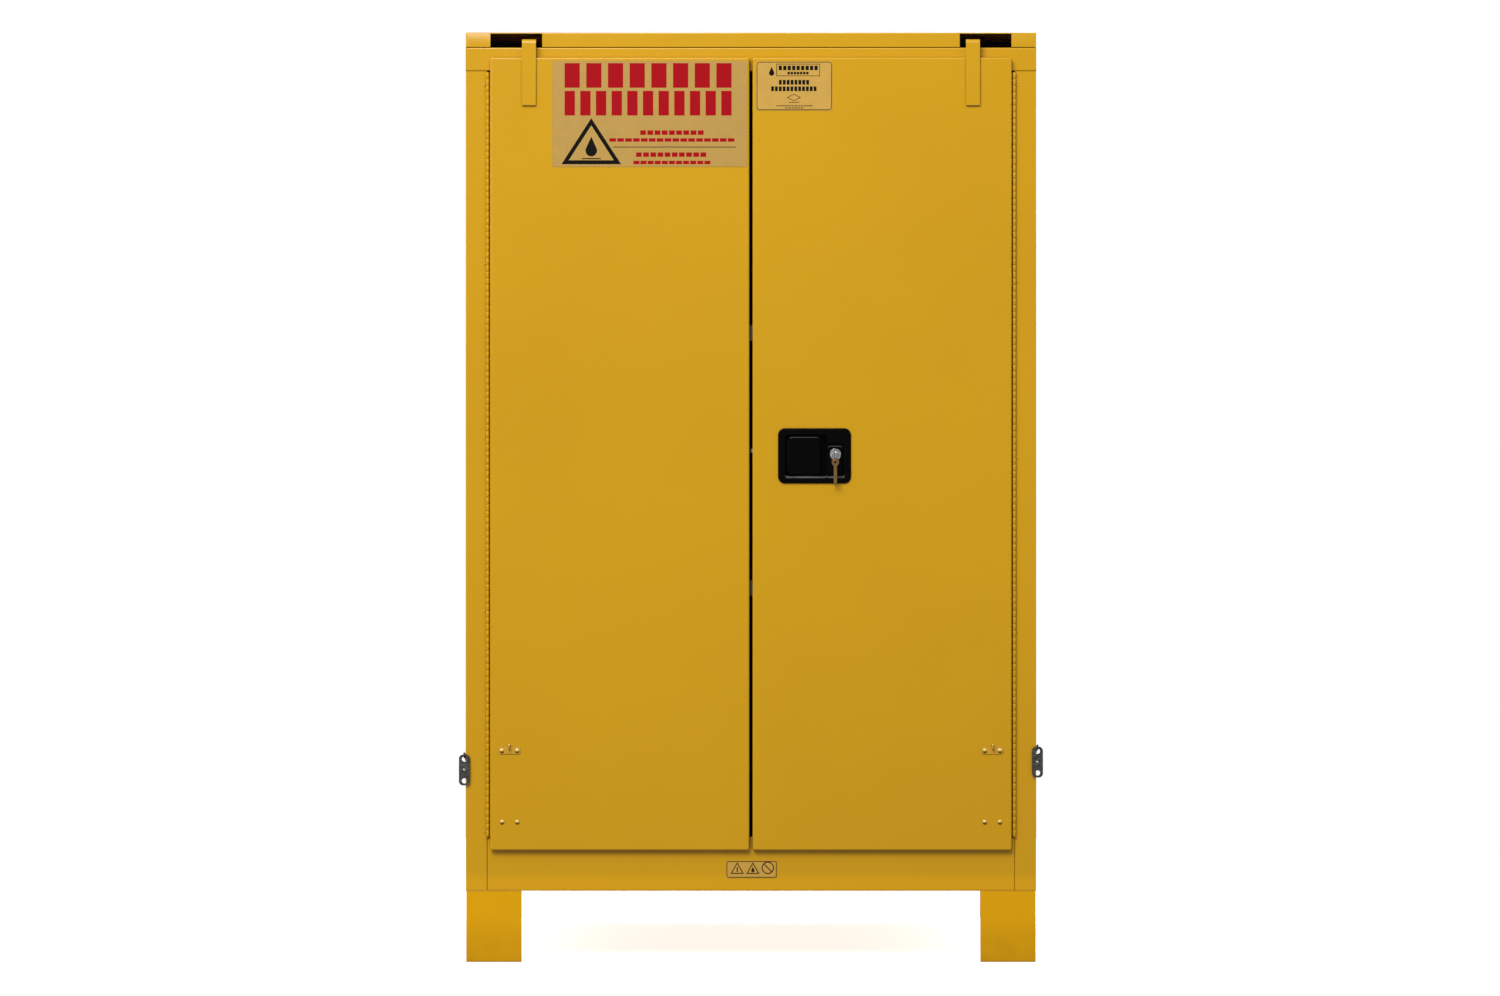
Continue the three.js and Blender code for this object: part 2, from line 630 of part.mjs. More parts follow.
/** The inner half of a door: a pan whose rim lies inside the outer skin. */
function doorPan(side) {
  const { front, back, inset, corner } = PAN_FLANGE;
  const outline = roundedRectangle(
    [DOOR_FREE + inset, DOOR_EDGE - inset],
    [DOOR_BOTTOM + inset, DOOR_TOP - inset],
    corner,
  );
  const rim = extrude(outline, 'y', [ahead(front), ahead(back)]);
  const bulk = box([PAN.left, PAN.right], [ahead(front), behind(PAN_BACK)], [PAN.bottom, PAN.top]);
  const pocket = box(
    [PAN.left + SHEET, PAN.right - SHEET],
    [ahead(front + PASS), behind(PAN_BACK - SHEET)],
    [PAN.bottom + SHEET, PAN.top - SHEET],
  );
  const cutters = [pocket];
  if (side === 'right') {
    const hole = ROD.radius + 0.5;
    const walls = [PAN.bottom, PAN.top].map((z) => [z - 2 * SHEET, z + 2 * SHEET]);
    cutters.push(...walls.map((span) => cylinder('z', [ROD.x, behind(ROD.back)], hole, span, 16)));
  }
  return part(`door_pan_${side}`, 'liner', onSide(side, cut(rim.add(bulk), cutters)));
}

/** A domed rivet head, pointing forward. */
function rivetHead(x, z, base) {
  const { radius, height } = RIVET_HEAD;
  const rows = 4;
  const profile = [[0, 0]];
  for (let i = 0; i <= rows; i += 1) {
    const tilt = ((i / rows) * Math.PI) / 2;
    profile.push([radius * Math.cos(tilt), height * Math.sin(tilt)]);
  }
  profile[profile.length - 1][0] = 0;
  const dome = lathe(profile, 16);
  return dome.rotate([90, 0, 0]).translate([x, base, z]);
}

function rivet(x, z, base) {
  const shank = cylinder('y', [x, z], RIVET_SHANK, [base - 0.5, ahead(DOOR_FACE - 2.5)], 12);
  return rivetHead(x, z, base).add(shank);
}

/** The riveted plate whose eye takes the free end of the fusible link when the door stands open. */
function linkBracket(side) {
  const front = ahead(DOOR_FACE + BRACKET.front);
  const rear = ahead(DOOR_FACE + BRACKET.rear);
  const z = RIVET_Z.bracket;
  const plate = extrude(rectangleOf(BRACKET), 'y', [front, rear]);
  const lugReach = [ahead(DOOR_FACE + LUG.reach), rear];
  const lugShape = roundedRectangle(lugReach, [LUG.bottom, LUG.top], LUG.corner);
  const lug = extrude(lugShape, 'x', [LUG.left, LUG.right]);
  const eyeAt = [ahead(DOOR_FACE + LUG_EYE.out), LUG_EYE.z];
  const eye = cylinder('x', eyeAt, LUG_EYE.radius, [LUG.left - PASS, LUG.right + PASS], 16);
  const rivets = RIVET_X.map((x) => rivet(x, z, front + 0.1));
  const tailSpan = [ahead(DOOR_FACE - RIVET_TAIL.front), ahead(DOOR_FACE - RIVET_TAIL.rear)];
  const tails = RIVET_X.map((x) => cylinder('y', [x, z], RIVET_TAIL.radius, tailSpan, 12));
  const solid = union([plate, lug.subtract(eye), ...rivets, ...tails]);
  return part(`link_bracket_${side}`, 'yellow', onSide(side, solid));
}

/** The lower pair of rivets and the backing strap behind the skin that joins them. */
function lowerRivets(side) {
  const z = RIVET_Z.strap;
  const strap = box(
    [BRACKET.left, BRACKET.right],
    [ahead(DOOR_FACE - STRAP.front), ahead(DOOR_FACE - STRAP.rear)],
    [z - STRAP.half, z + STRAP.half],
  );
  const rivets = RIVET_X.map((x) => rivet(x, z, ahead(DOOR_FACE + BRACKET.rear)));
  return part(`lower_rivets_${side}`, 'yellow', onSide(side, union([strap, ...rivets])));
}

function label(name, outline, base) {
  const rear = base - LABEL.lift;
  return part(name, 'label', extrude(rectangleOf(outline), 'y', [rear - LABEL.thickness, rear], 4));
}

// ---------------------------------------------------------------- closers and links
function closerPost(side) {
  const at = [CLOSER_X, CLOSER_Y];
  const { half, front, rear, bottom, top } = CLOSER_FOOT;
  const foot = box([CLOSER_X - half, CLOSER_X + half], [CLOSER_Y - front, CLOSER_Y + rear], [bottom, top]);
  const post = cylinder('z', at, CLOSER_POST.radius, [CLOSER_POST.bottom, CLOSER_POST.top], 32);
  const collar = cylinder('z', at, CLOSER_COLLAR.radius, [CLOSER_POST.bottom, CLOSER_COLLAR.top], 24);
  return part(`closer_post_${side}`, 'steel', onSide(side, union([foot, post, collar])));
}

/** Stands in for the torsion spring wound around the post. */
function closerSpring(side) {
  const at = [CLOSER_X, CLOSER_Y];
  const { radius, bore, bottom, top } = CLOSER_SPRING;
  const outer = cylinder('z', at, radius, [bottom, top], 24);
  const inner = cylinder('z', at, bore, [bottom - PASS, top + PASS], 24);
  return part(`closer_spring_${side}`, 'dark_steel', onSide(side, outer.subtract(inner)));
}

/** The lever that turns on the post, reaches out through the slot and bends down in front of the door. */
function closerArm(side) {
  const low = CLOSER_STRAP_Z - CLOSER_STRAP / 2;
  const high = CLOSER_STRAP_Z + CLOSER_STRAP / 2;
  const tabSpan = [TAB.x - TAB.width / 2, TAB.x + TAB.width / 2];
  const at = [CLOSER_X, CLOSER_Y];
  const half = CLOSER_BAR_HALF;
  const hub = cylinder('z', at, CLOSER_HUB.radius, [CLOSER_HUB.bottom, CLOSER_HUB.top], 24);
  const root = box([CLOSER_X - half, CLOSER_X + half], [CLOSER_Y, CLOSER_BAR_Y + half], [low, high]);
  const bar = box([tabSpan[0], CLOSER_X + half], [CLOSER_BAR_Y - half, CLOSER_BAR_Y + half], [low, high]);
  const tabY = ahead(DOOR_FACE + TAB.stand_off + CLOSER_STRAP / 2);
  const section = foldedSheet(
    [
      [CLOSER_BAR_Y, CLOSER_STRAP_Z],
      [tabY, CLOSER_STRAP_Z],
      [tabY, TAB.bottom],
    ],
    CLOSER_STRAP,
    CLOSER_BEND,
  );
  const tab = extrude(section, 'x', tabSpan);
  const boreSpan = [CLOSER_HUB.bottom - PASS, CLOSER_HUB.top + PASS];
  const bore = cylinder('z', at, CLOSER_POST.radius + 0.1, boreSpan, 32);
  return part(`closer_arm_${side}`, 'yellow', onSide(side, union([hub, root, bar, tab]).subtract(bore)));
}

function linkWireZ(side) {
  return LINK_HOLE_Z[side] + LINK.hole - HOOK_WIRE - GAP;
}

/** The wire hook on the cabinet's side that carries a fusible link. */
function linkHook(side) {
  const z = linkWireZ(side);
  const { thickness, front, rear, half } = HOOK_PLATE;
  const wall = HALF + GAP;
  const plate = box([wall, wall + thickness], [behind(front), behind(rear)], [z - half, z + half]);
  const wire = roundBar(
    [
      [LINK.x, behind(22), z],
      [LINK.x, behind(8), z],
      [LINK.x, ahead(6), z],
      [LINK.x, ahead(9), z + 2.5],
      [LINK.x, ahead(10), z + 10],
    ],
    HOOK_WIRE,
    14,
  );
  return part(`link_hook_${side}`, 'dark_steel', onSide(side, plate.add(wire)));
}

/** Two metal tabs soldered face to face, with a hole at each end. */
function fusibleLink(side) {
  const holeZ = LINK_HOLE_Z[side];
  const top = holeZ + (LINK.length - LINK.pitch) / 2;
  const bottom = top - LINK.length;
  const spanX = [LINK.x - LINK.width / 2, LINK.x + LINK.width / 2];
  const rear = ahead(LINK.out);
  const joint = rear - LINK.thickness;
  const middle = (top + bottom) / 2;
  const upperShape = roundedRectangle(spanX, [middle - LINK_OVERLAP, top], LINK.corner);
  const lowerShape = roundedRectangle(spanX, [bottom, middle + LINK_OVERLAP], LINK.corner);
  const upper = extrude(upperShape, 'y', [joint, rear], 5);
  const lower = extrude(lowerShape, 'y', [joint - LINK.thickness, joint], 5);
  const holes = [holeZ, holeZ - LINK.pitch].map((z) =>
    cylinder('y', [LINK.x, z], LINK.hole, [rear - 5, rear + 2], 24),
  );
  return part(`fusible_link_${side}`, 'dark_steel', onSide(side, cut(upper.add(lower), holes)));
}

// ---------------------------------------------------------------- latch
/** A pocket cut into a front face, with a lower wall that slopes up towards its floor. */
function slopedWell(pocket, [face, floor]) {
  const mouth = extrude(rectangleOf(pocket), 'y', [face - PASS, face + 0.1]);
  const raised = rectangleOf({ ...pocket, bottom: pocket.bottom + pocket.slope });
  const foot = extrude(raised, 'y', [face + pocket.slope, face + pocket.slope + 0.1]);
  return union([wasm.Manifold.hull([mouth, foot]), extrude(raised, 'y', [face, floor])]);
}

function latchHousing() {
  const face = ahead(DOOR_FACE + BEZEL.proud);
  const seat = ahead(DOOR_FACE + GAP);
  const bezel = roundedFront(rectangleOf(BEZEL), [face, seat], BEZEL.rim, 6);
  const tub = extrude(rectangleOf(TUB), 'y', [seat - 1, ahead(TUB.back)]);
  const well = slopedWell(WELL, [face, ahead(TUB.back + WELL.floor)]);
  const lockFloor = face + LOCK_WELL.floor;
  const bossSpan = [face + LOCK_BOSS.sunk, lockFloor + PASS];
  const boss = roundedFront(rectangleOf(LOCK_BOSS), bossSpan, LOCK_BOSS.rounding, 4);
  const lockWell = slopedWell({ ...LOCK_WELL, slope: WELL.slope }, [face, lockFloor]).subtract(boss);
  const boreSpan = [face - PASS, ahead(TUB.back - PASS)];
  const lockBore = cylinder('y', [LOCK.x, LOCK.z], LOCK.radius + GAP, boreSpan, 32);
  const axis = PADDLE_AXIS;
  const pinSpan = [axis.bottom - 0.5, axis.top + 0.5];
  const pinBore = cylinder('z', [axis.x, ahead(axis.out)], axis.radius + 0.1, pinSpan, 16);
  return part('latch_housing', 'black', cut(bezel.add(tub), [well, lockWell, lockBore, pinBore]));
}

/** The pull plate, the pin it turns on and the tail that works the rods. */
function latchPaddle() {
  const { x, out, radius, bottom, top } = PADDLE_AXIS;
  const y = ahead(out);
  const front = ahead(DOOR_FACE + BEZEL.proud - 0.5);
  const back = front + PADDLE.thickness;
  const plate = roundedFront(rectangleOf(PADDLE), [front, back], PADDLE.rounding, 4);
  const height = [PADDLE.bottom + PADDLE_LIP.inset, PADDLE.top - PADDLE_LIP.inset];
  const lipWidth = [PADDLE.right - PADDLE_LIP.width, PADDLE.right];
  const lip = box(lipWidth, [back - 1, back + PADDLE_LIP.depth], height);
  const cheek = box([x - 1, PADDLE.left + 4], [front + 1, y], height);
  const pin = cylinder('z', [x, y], radius, [bottom, top], 16);
  const tailHeight = [PADDLE_TAIL.bottom, PADDLE_TAIL.top];
  const tail = box([x - PADDLE_TAIL.half, x + PADDLE_TAIL.half], [y, y + PADDLE_TAIL.depth], tailHeight);
  return part('latch_paddle', 'black', union([plate, lip, cheek, pin, tail]));
}

function lockCylinder() {
  const at = [LOCK.x, LOCK.z];
  const barrel = cylinder('y', at, LOCK.radius, [ahead(LOCK.out), behind(LOCK.back)], 32);
  const boreSpan = [ahead(LOCK.out + PASS), behind(LOCK.back + PASS)];
  const plugBore = cylinder('y', at, LOCK.plug + 0.1, boreSpan, 32);
  return part('lock_cylinder', 'chrome', barrel.subtract(plugBore));
}

/** The lock's turning plug, with the key standing in it. */
function lockPlug() {
  const at = [LOCK.x, LOCK.z];
  const plug = cylinder('y', at, LOCK.plug, [ahead(LOCK.out + GAP), behind(LOCK.back + 1)], 32);
  const keySpan = [LOCK.x - KEY.half, LOCK.x + KEY.half];
  const shank = box(keySpan, [ahead(KEY.reach), ahead(LOCK.out)], [LOCK.z - KEY.shank, LOCK.z + KEY.shank]);
  const bowCentre = ahead(FRONT_REACH - KEY.bow);
  const bow = cylinder('x', [bowCentre, LOCK.z], KEY.bow, keySpan, 24);
  const holeSpan = [keySpan[0] - PASS, keySpan[1] + PASS];
  const hole = cylinder('x', [bowCentre - 3, LOCK.z], KEY.hole, holeSpan, 16);
  const cam = box(
    [LOCK.x - CAM.half, LOCK.x + CAM.half],
    [behind(CAM.front), behind(CAM.back)],
    [LOCK.z - CAM.down, LOCK.z + CAM.up],
  );
  return part('lock_plug', 'chrome', union([plug, shank, bow, cam]).subtract(hole));
}

/** A round bow that runs down into a blade with a slanting tip; the bow's centre is the origin. */
function spareKeyOutline() {
  const { bow, blade, neck, tip } = SPARE_KEY;
  const mouth = SPARE_KEY_MOUTH;
  const outline = new THREE.Shape();
  outline.absarc(0, 0, bow, -mouth, Math.PI + mouth);
  outline.quadraticCurveTo(-blade, -bow - 1.5, -blade, neck);
  outline.lineTo(-blade, tip + 6.5);
  outline.lineTo(-1.2, tip);
  outline.lineTo(0.6, tip);
  outline.lineTo(blade, tip + 8.5);
  outline.lineTo(blade, neck);
  outline.quadraticCurveTo(blade, -bow - 1.5, bow * Math.cos(mouth), -bow * Math.sin(mouth));
  return outline;
}

/** A wire ring around the key's shank, with the spare key on it. */
function spareKey() {
  const y = ahead(KEY_RING.out);
  const ringZ = LOCK.z + KEY.shank + 0.4 + KEY_RING.wire - KEY_RING.radius;
  const torus = toSolid(new THREE.TorusGeometry(KEY_RING.radius, KEY_RING.wire, 8, 24));
  const ring = torus.rotate([90, 0, 0]).rotate([0, 0, KEY_RING.turn]).translate([LOCK.x, y, ringZ]);
  const holeZ = ringZ - KEY_RING.radius - 2;
  const blank = extrude(spareKeyOutline(), 'y', [-1, 1], 8);
  const hole = cylinder('y', [0, 0], SPARE_KEY.hole, [-2, 2], 16);
  const key = blank.subtract(hole).rotate([0, 0, SPARE_KEY.turn]).translate([LOCK.x, y, holeZ]);
  return part('spare_key', 'brass', ring.add(key));
}

function latchBolt() {
  const nose = polygon([
    [BOLT.tip, ahead(BOLT.back)],
    [BOLT.tip, ahead(BOLT.front - 3)],
    [BOLT.tip + 3, ahead(BOLT.front)],
    [BOLT.tail, ahead(BOLT.front)],
    [BOLT.tail, ahead(BOLT.back)],
  ]);
  const solid = extrude(nose, 'z', [BOLT.z - BOLT.height / 2, BOLT.z + BOLT.height / 2]);
  return part('latch_bolt', 'steel', solid);
}

/** A latch rod inside the right door; its foot reaches towards the latch. */
function latchRod(end) {
  const y = behind(ROD.back);
  const z = ROD_FOOT_Z[end];
  const { depth, height } = ROD.footHalf;
  const rod = cylinder('z', [ROD.x, y], ROD.radius, ROD_SPAN[end], 16);
  const foot = box([ROD.x, ROD.footEnd], [y - depth, y + depth], [z - height, z + height]);
  return part(`latch_rod_${end}`, 'steel', rod.add(foot));
}

/** The slotted plate inside the left door's edge that takes the bolt. */
function strikePlate() {
  const inner = DOOR_FREE + DOOR_SKIN + GAP;
  const { front, back, bottom, top, slotBottom, slotTop } = STRIKE;
  const plate = box([inner, inner + SHEET], [ahead(front), ahead(back)], [bottom, top]);
  const slot = box(
    [inner - PASS, inner + SHEET + PASS],
    [ahead(BOLT.front + GAP), ahead(BOLT.back + GAP)],
    [slotBottom, slotTop],
  );
  return part('strike_plate', 'steel', plate.subtract(slot).mirror([1, 0, 0]));
}

// ---------------------------------------------------------------- assembly
const SIDES = ['left', 'right'];
const PAIRED_PARTS = [
  sidePanel,
  linerSide,
  shelfRack,
  flameArrestor,
  ventCap,
  hingeFrameLeaf,
  hingeDoorLeaf,
  doorSkin,
  doorPan,
  linkBracket,
  lowerRivets,
  closerPost,
  closerSpring,
  closerArm,
  linkHook,
  fusibleLink,
];

function buildCabinet() {
  const cabinet = new THREE.Group();
  cabinet.name = 'flammable_storage_cabinet';
  cabinet.add(backPanel(), bottomPanel(), topCap(), headRail(), bottomRail());
  cabinet.add(linerBack(), linerTop(), sumpTray(), groundScrew());
  for (const side of SIDES) {
    cabinet.add(...PAIRED_PARTS.map((make) => make(side)));
    cabinet.add(leg(side, 'front'), leg(side, 'rear'));
  }
  cabinet.add(shelf('shelf_lower', SHELF_Z[0]), shelf('shelf_upper', SHELF_Z[1]));
  cabinet.add(latchHousing(), latchPaddle(), lockCylinder(), lockPlug(), spareKey());
  cabinet.add(latchBolt(), latchRod('upper'), latchRod('lower'), strikePlate());
  cabinet.add(
    label('label_warning', WARNING_LABEL, ahead(DOOR_FACE)),
    label('label_notice', NOTICE_LABEL, ahead(DOOR_FACE)),
    label('label_pictograms', PICTOGRAM_LABEL, FRONT),
  );
  return cabinet;
}

export default buildCabinet();
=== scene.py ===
"""A two-door steel safety cabinet on legs: finishes, small fittings, printed labels, light and camera.

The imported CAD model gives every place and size. Lengths are metres, +Z is up, and the doors face -Y.
"""
import json
import math
import random

import bmesh
import bpy
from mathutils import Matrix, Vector


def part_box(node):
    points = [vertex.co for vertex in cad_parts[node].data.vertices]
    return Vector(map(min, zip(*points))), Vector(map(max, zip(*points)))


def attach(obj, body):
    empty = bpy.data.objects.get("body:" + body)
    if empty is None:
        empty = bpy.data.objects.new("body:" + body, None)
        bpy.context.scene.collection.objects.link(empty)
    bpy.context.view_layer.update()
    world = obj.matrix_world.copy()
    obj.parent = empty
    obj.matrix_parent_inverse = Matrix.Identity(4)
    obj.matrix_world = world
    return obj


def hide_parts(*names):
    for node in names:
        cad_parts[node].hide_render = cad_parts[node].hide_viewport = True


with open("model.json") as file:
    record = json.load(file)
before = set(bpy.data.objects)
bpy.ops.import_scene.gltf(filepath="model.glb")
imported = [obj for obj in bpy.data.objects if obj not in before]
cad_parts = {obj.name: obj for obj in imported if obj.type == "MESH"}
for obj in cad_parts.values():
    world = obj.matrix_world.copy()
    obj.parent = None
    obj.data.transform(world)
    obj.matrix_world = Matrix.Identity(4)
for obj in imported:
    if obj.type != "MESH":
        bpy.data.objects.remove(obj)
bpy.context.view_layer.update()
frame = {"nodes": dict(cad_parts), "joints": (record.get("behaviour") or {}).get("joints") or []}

MM = 0.001
SIDES = ("left", "right")

# Camera: far back and level, so that the cabinet is seen as a flat front elevation.
LENS_MM = 100
SENSOR_MM = 36
CAMERA_DISTANCE = 7.96
CAMERA_X = -1.8 * MM
CAMERA_HEIGHT = 0.888

# Soft lamps: where each one hangs, its width and height, and its power in watts. All aim at one point.
LAMPS = {
    "key": ((-2.4, -6.5, 6.0), (5.0, 4.0), 640),
    "overhead": ((0, -2.2, 4.0), (3.0, 0.5), 12),
    "back": ((0.9, 3.4, 4.0), (3.0, 1.8), 170),
    "left_fill": ((-4.0, 0.2, 2.6), (1.6, 2.4), 80),
    "right_fill": ((4.0, 0.2, 2.6), (1.6, 2.4), 80),
}
LAMP_AIM = (0, 0, 0.95)

# The white surroundings, as the camera sees them and as they light the object, and the floor.
BACKDROP_STRENGTH = 1.0
SURROUND_STRENGTH = 0.36
FLOOR_RADIUS = 2.6
FLOOR_GLOW = 0.79

# Edge finish of the CAD nodes.
SHARP_ANGLE = math.radians(38)  # faces that meet at less are shaded as one
FLAT_ANGLE = math.radians(0.6)  # faces that meet at less are joined
MERGE_DISTANCE = 0.002 * MM

# Small fittings that only the finished model shows.
HINGE_SHEET = 1.3 * MM
KNUCKLE_LENGTH = 12.7 * MM
KNUCKLE_GAP = 0.06 * MM
KNUCKLE_RIM = 0.15 * MM
WEB_START = 0.6  # a web starts inside the barrel and ends past its rim, in barrel radii
WEB_END = 1.2
WELD_RADIUS = 2.2 * MM
WELD_HEIGHT = 0.9 * MM
END_WELD_RADIUS = 1.3 * WELD_RADIUS
END_WELD_HEIGHT = 1.3 * MM
WELD_INSET = 3.4 * MM
WELD_PLACES = {"left": (0.006, 0.295, 0.522, 0.749, 0.983), "right": (0.268, 0.496, 0.726, 0.983)}
WELD_SEED = 7
SOLDER_RADIUS = 2.6 * MM
SOLDER_HEIGHT = 0.6 * MM
SOLDER_SEED = 11
SPRING_WIRE = 1.8 * MM
SPRING_PITCH = 1.15 * SPRING_WIRE
STEPS_PER_TURN = 20
INK_THICKNESS = 0.06 * MM

# Places where a finish changes.
LATCH_RIM = 8 * MM  # height of the bezel's top edge, above the well
PAINTED_BOUNCE_TOP = 178 * MM  # below this a painted reflection of the floor makes the paint warmer and brighter
PAINTED_BOUNCE_BLEND = 25 * MM  # over which the painted reflection fades in
PAINTED_SHADE_DEPTH = 6 * MM  # over which the paint turns to painted black shade
DUST_TOP = 100 * MM  # dust lies on the legs below this

# Colours are linear RGB.
YELLOW = (0.60, 0.320, 0.002)
YELLOW_SHADE = (0.58, 0.305, 0.002)
# paler paint for wear, and for a painted highlight along edges
WORN_AND_HIGHLIT_YELLOW = (0.70, 0.40, 0.03)
LEG_YELLOW = (0.73, 0.36, 0.0005)
LEG_SHADE = (0.70, 0.34, 0.0005)
# painted highlight on the tops of rivets and brackets
PAINTED_HIGHLIGHT_CREAM = (0.90, 0.72, 0.35)
LINER_YELLOW = (0.57, 0.285, 0.006)
LINER_SHADE = (0.50, 0.24, 0.005)
# dust on the legs, and painted shade in corners and seams
DUST_AND_SHADE_BROWN = (0.16, 0.065, 0.004)
# painted shade under rivets and brackets
PAINTED_SHADE_BROWN = (0.085, 0.034, 0.003)
# painted shade: black behind the head rail's front and the hinge knuckles
PAINTED_SHADE_BLACK = (0.004, 0.003, 0.002)
WARNING_FILM = (0.47, 0.28, 0.055)
NOTICE_FILM = (0.57, 0.33, 0.052)
RED_INK = (0.36, 0.0015, 0.006)
BLACK_INK = (0.0035, 0.0030, 0.0020)
BROWN_INK = (0.045, 0.014, 0.001)

# Rows of blocks that stand for lines of print, in millimetres from the label's lower left corner:
# left, right, low, high, how many blocks, and the share of each step that is inked.
WARNING_ROWS = {
    "heading": (23.5, 342.5, 151, 198, 8, 0.70),
    "second heading": (23.5, 342.5, 98, 145, 11, 0.66),
    "upper line": (168, 289, 61, 69.5, 9, 0.8),
    "upper small line": (109, 348, 48, 54.5, 16, 0.85),
    "lower line": (160, 294, 19, 27.5, 10, 0.8),
    "lower small line": (155, 302, 5, 11.5, 11, 0.85),
}
NOTICE_ROWS = {
    "boxed heading": (43, 117.5, 77, 85.5, 9, 0.72),
    "boxed small line": (60, 100, 69, 74, 7, 0.75),
    "first line": (43.5, 101, 49.5, 58.5, 8, 0.72),
    "second line": (28.6, 115.2, 37, 46, 12, 0.72),
    "small line": (63, 82, 15, 16.4, 4, 0.8),
    "long small line": (38.6, 107, 8.2, 9.8, 12, 0.8),
    "last small line": (55, 90, 4.2, 5.8, 6, 0.8),
}


# ---------------------------------------------------------------- material recipes

class Recipe:
    """The node tree of one material. Each method adds a node and returns the socket with its result."""

    def __init__(self, name):
        self.material = bpy.data.materials.new(name)
        self.material.use_nodes = True
        self.tree = self.material.node_tree
        self.shader = self.tree.nodes["Principled BSDF"]
        self.coordinates = self.add("ShaderNodeTexCoord")
        self.place = self.coordinates.outputs["Object"]

    def add(self, kind, **settings):
        node = self.tree.nodes.new(kind)
        for key, value in settings.items():
            setattr(node, key, value)
        return node

    def feed(self, socket, value):
        """Links a socket to another one, or gives it a plain value."""
        if isinstance(value, bpy.types.NodeSocket):
            self.tree.links.new(value, socket)
        elif isinstance(value, tuple) and len(value) == 3 and socket.type == "RGBA":
            socket.default_value = (*value, 1)
        else:
            socket.default_value = value

    def stretched(self, scale):
        """Object coordinates with a different scale along each axis."""
        node = self.add("ShaderNodeMapping")
        self.feed(node.inputs["Vector"], self.place)
        self.feed(node.inputs["Scale"], scale)
        return node.outputs["Vector"]

    def noise(self, scale, detail=2.0, roughness=0.5, place=None):
        node = self.add("ShaderNodeTexNoise")
        self.feed(node.inputs["Vector"], place or self.place)
        self.feed(node.inputs["Scale"], scale)
        self.feed(node.inputs["Detail"], detail)
        self.feed(node.inputs["Roughness"], roughness)
        return node.outputs["Fac"]

    def cells(self, scale, output="Color"):
        """Voronoi cells: a random colour for each, or the distance to the middle of each."""
        node = self.add("ShaderNodeTexVoronoi")
        self.feed(node.inputs["Vector"], self.place)
        self.feed(node.inputs["Scale"], scale)
        return node.outputs[output]

    def coordinate(self, axis, output="Object"):
        """One coordinate of a point on the object, or of its normal."""
        node = self.add("ShaderNodeSeparateXYZ")
        self.feed(node.inputs["Vector"], self.coordinates.outputs[output])
        return node.outputs[axis]

    def remap(self, value, low, high, to_low=0.0, to_high=1.0):
        node = self.add("ShaderNodeMapRange", interpolation_type="SMOOTHSTEP")
        self.feed(node.inputs["Value"], value)
        self.feed(node.inputs["From Min"], low)
        self.feed(node.inputs["From Max"], high)
        self.feed(node.inputs["To Min"], to_low)
        self.feed(node.inputs["To Max"], to_high)
        return node.outputs["Result"]

    def calculate(self, operation, a, b):
        node = self.add("ShaderNodeMath", operation=operation, use_clamp=True)
        self.feed(node.inputs[0], a)
        self.feed(node.inputs[1], b)
        return node.outputs[0]

    def mix(self, factor, a, b, blend="MIX"):
        node = self.add("ShaderNodeMix", data_type="RGBA", blend_type=blend)
        colours = [s for s in node.inputs if s.type == "RGBA"]
        self.feed(node.inputs["Factor"], factor)
        self.feed(colours[0], a)
        self.feed(colours[1], b)
        return [s for s in node.outputs if s.type == "RGBA"][0]

    def edges(self, radius):
        """1 along convex and concave edges within this radius, 0 on flat ground."""
        rounded = self.add("ShaderNodeBevel", samples=6)
        self.feed(rounded.inputs["Radius"], radius)
        plain = self.add("ShaderNodeNewGeometry")
        dot = self.add("ShaderNodeVectorMath", operation="DOT_PRODUCT")
        self.feed(dot.inputs[0], rounded.outputs["Normal"])
        self.feed(dot.inputs[1], plain.outputs["Normal"])
        return self.remap(dot.outputs["Value"], 0.995, 0.80)

    def corners(self, distance):
        """1 deep in a corner or a seam, 0 on open ground. The finishes use it to paint shade in corners."""
        node = self.add("ShaderNodeAmbientOcclusion", samples=6)
        self.feed(node.inputs["Distance"], distance)
        return self.remap(node.outputs["AO"], 0.85, 0.15)

    def bump(self, height, distance, normal=None):
        node = self.add("ShaderNodeBump")
        self.feed(node.inputs["Height"], height)
        self.feed(node.inputs["Distance"], distance)
        if normal is not None:
            self.feed(node.inputs["Normal"], normal)
        return node.outputs["Normal"]

    def finish(self, colour, roughness, normal=None, **plain):
        """Feeds the shader. The names in plain are its own sockets, with underscores for spaces."""
        self.feed(self.shader.inputs["Base Color"], colour)
        self.feed(self.shader.inputs["Roughness"], roughness)
        if normal is not None:
            self.feed(self.shader.inputs["Normal"], normal)
        for key, value in plain.items():
            self.feed(self.shader.inputs[key.replace("_", " ")], value)
        return self.material


def scratches_on(recipe):
    """Long faint scratches in a few areas: 1 on a scratch, 0 elsewhere."""
    fine_lines = recipe.noise(1, 4, 0.6, recipe.stretched((9, 9, 420)))
    areas = recipe.remap(recipe.noise(4, 2), 0.52, 0.68)
    return recipe.calculate("MULTIPLY", recipe.remap(fine_lines, 0.72, 0.78), areas)


def fresh_paint(recipe, colour, shade):
    """Paint as it was sprayed: a slow drift of colour and fine flecks, with a warmer, brighter band near
    the bottom that is painted light reflected up from the floor.
    """
    drift = recipe.remap(recipe.noise(1.7, 3), 0.35, 0.65)
    base = recipe.mix(drift, colour, shade)
    fleck = recipe.remap(recipe.noise(900, 1), 0.70, 0.76, 0, 0.25)
    base = recipe.mix(fleck, base, shade)
    # Painted light reflected from the floor: the lowest band turns warmer and brighter.
    painted_bounce = recipe.remap(recipe.coordinate("Z"), PAINTED_BOUNCE_TOP, PAINTED_BOUNCE_TOP - PAINTED_BOUNCE_BLEND, 0, 0.6)
    return recipe.mix(painted_bounce, base, LEG_YELLOW)


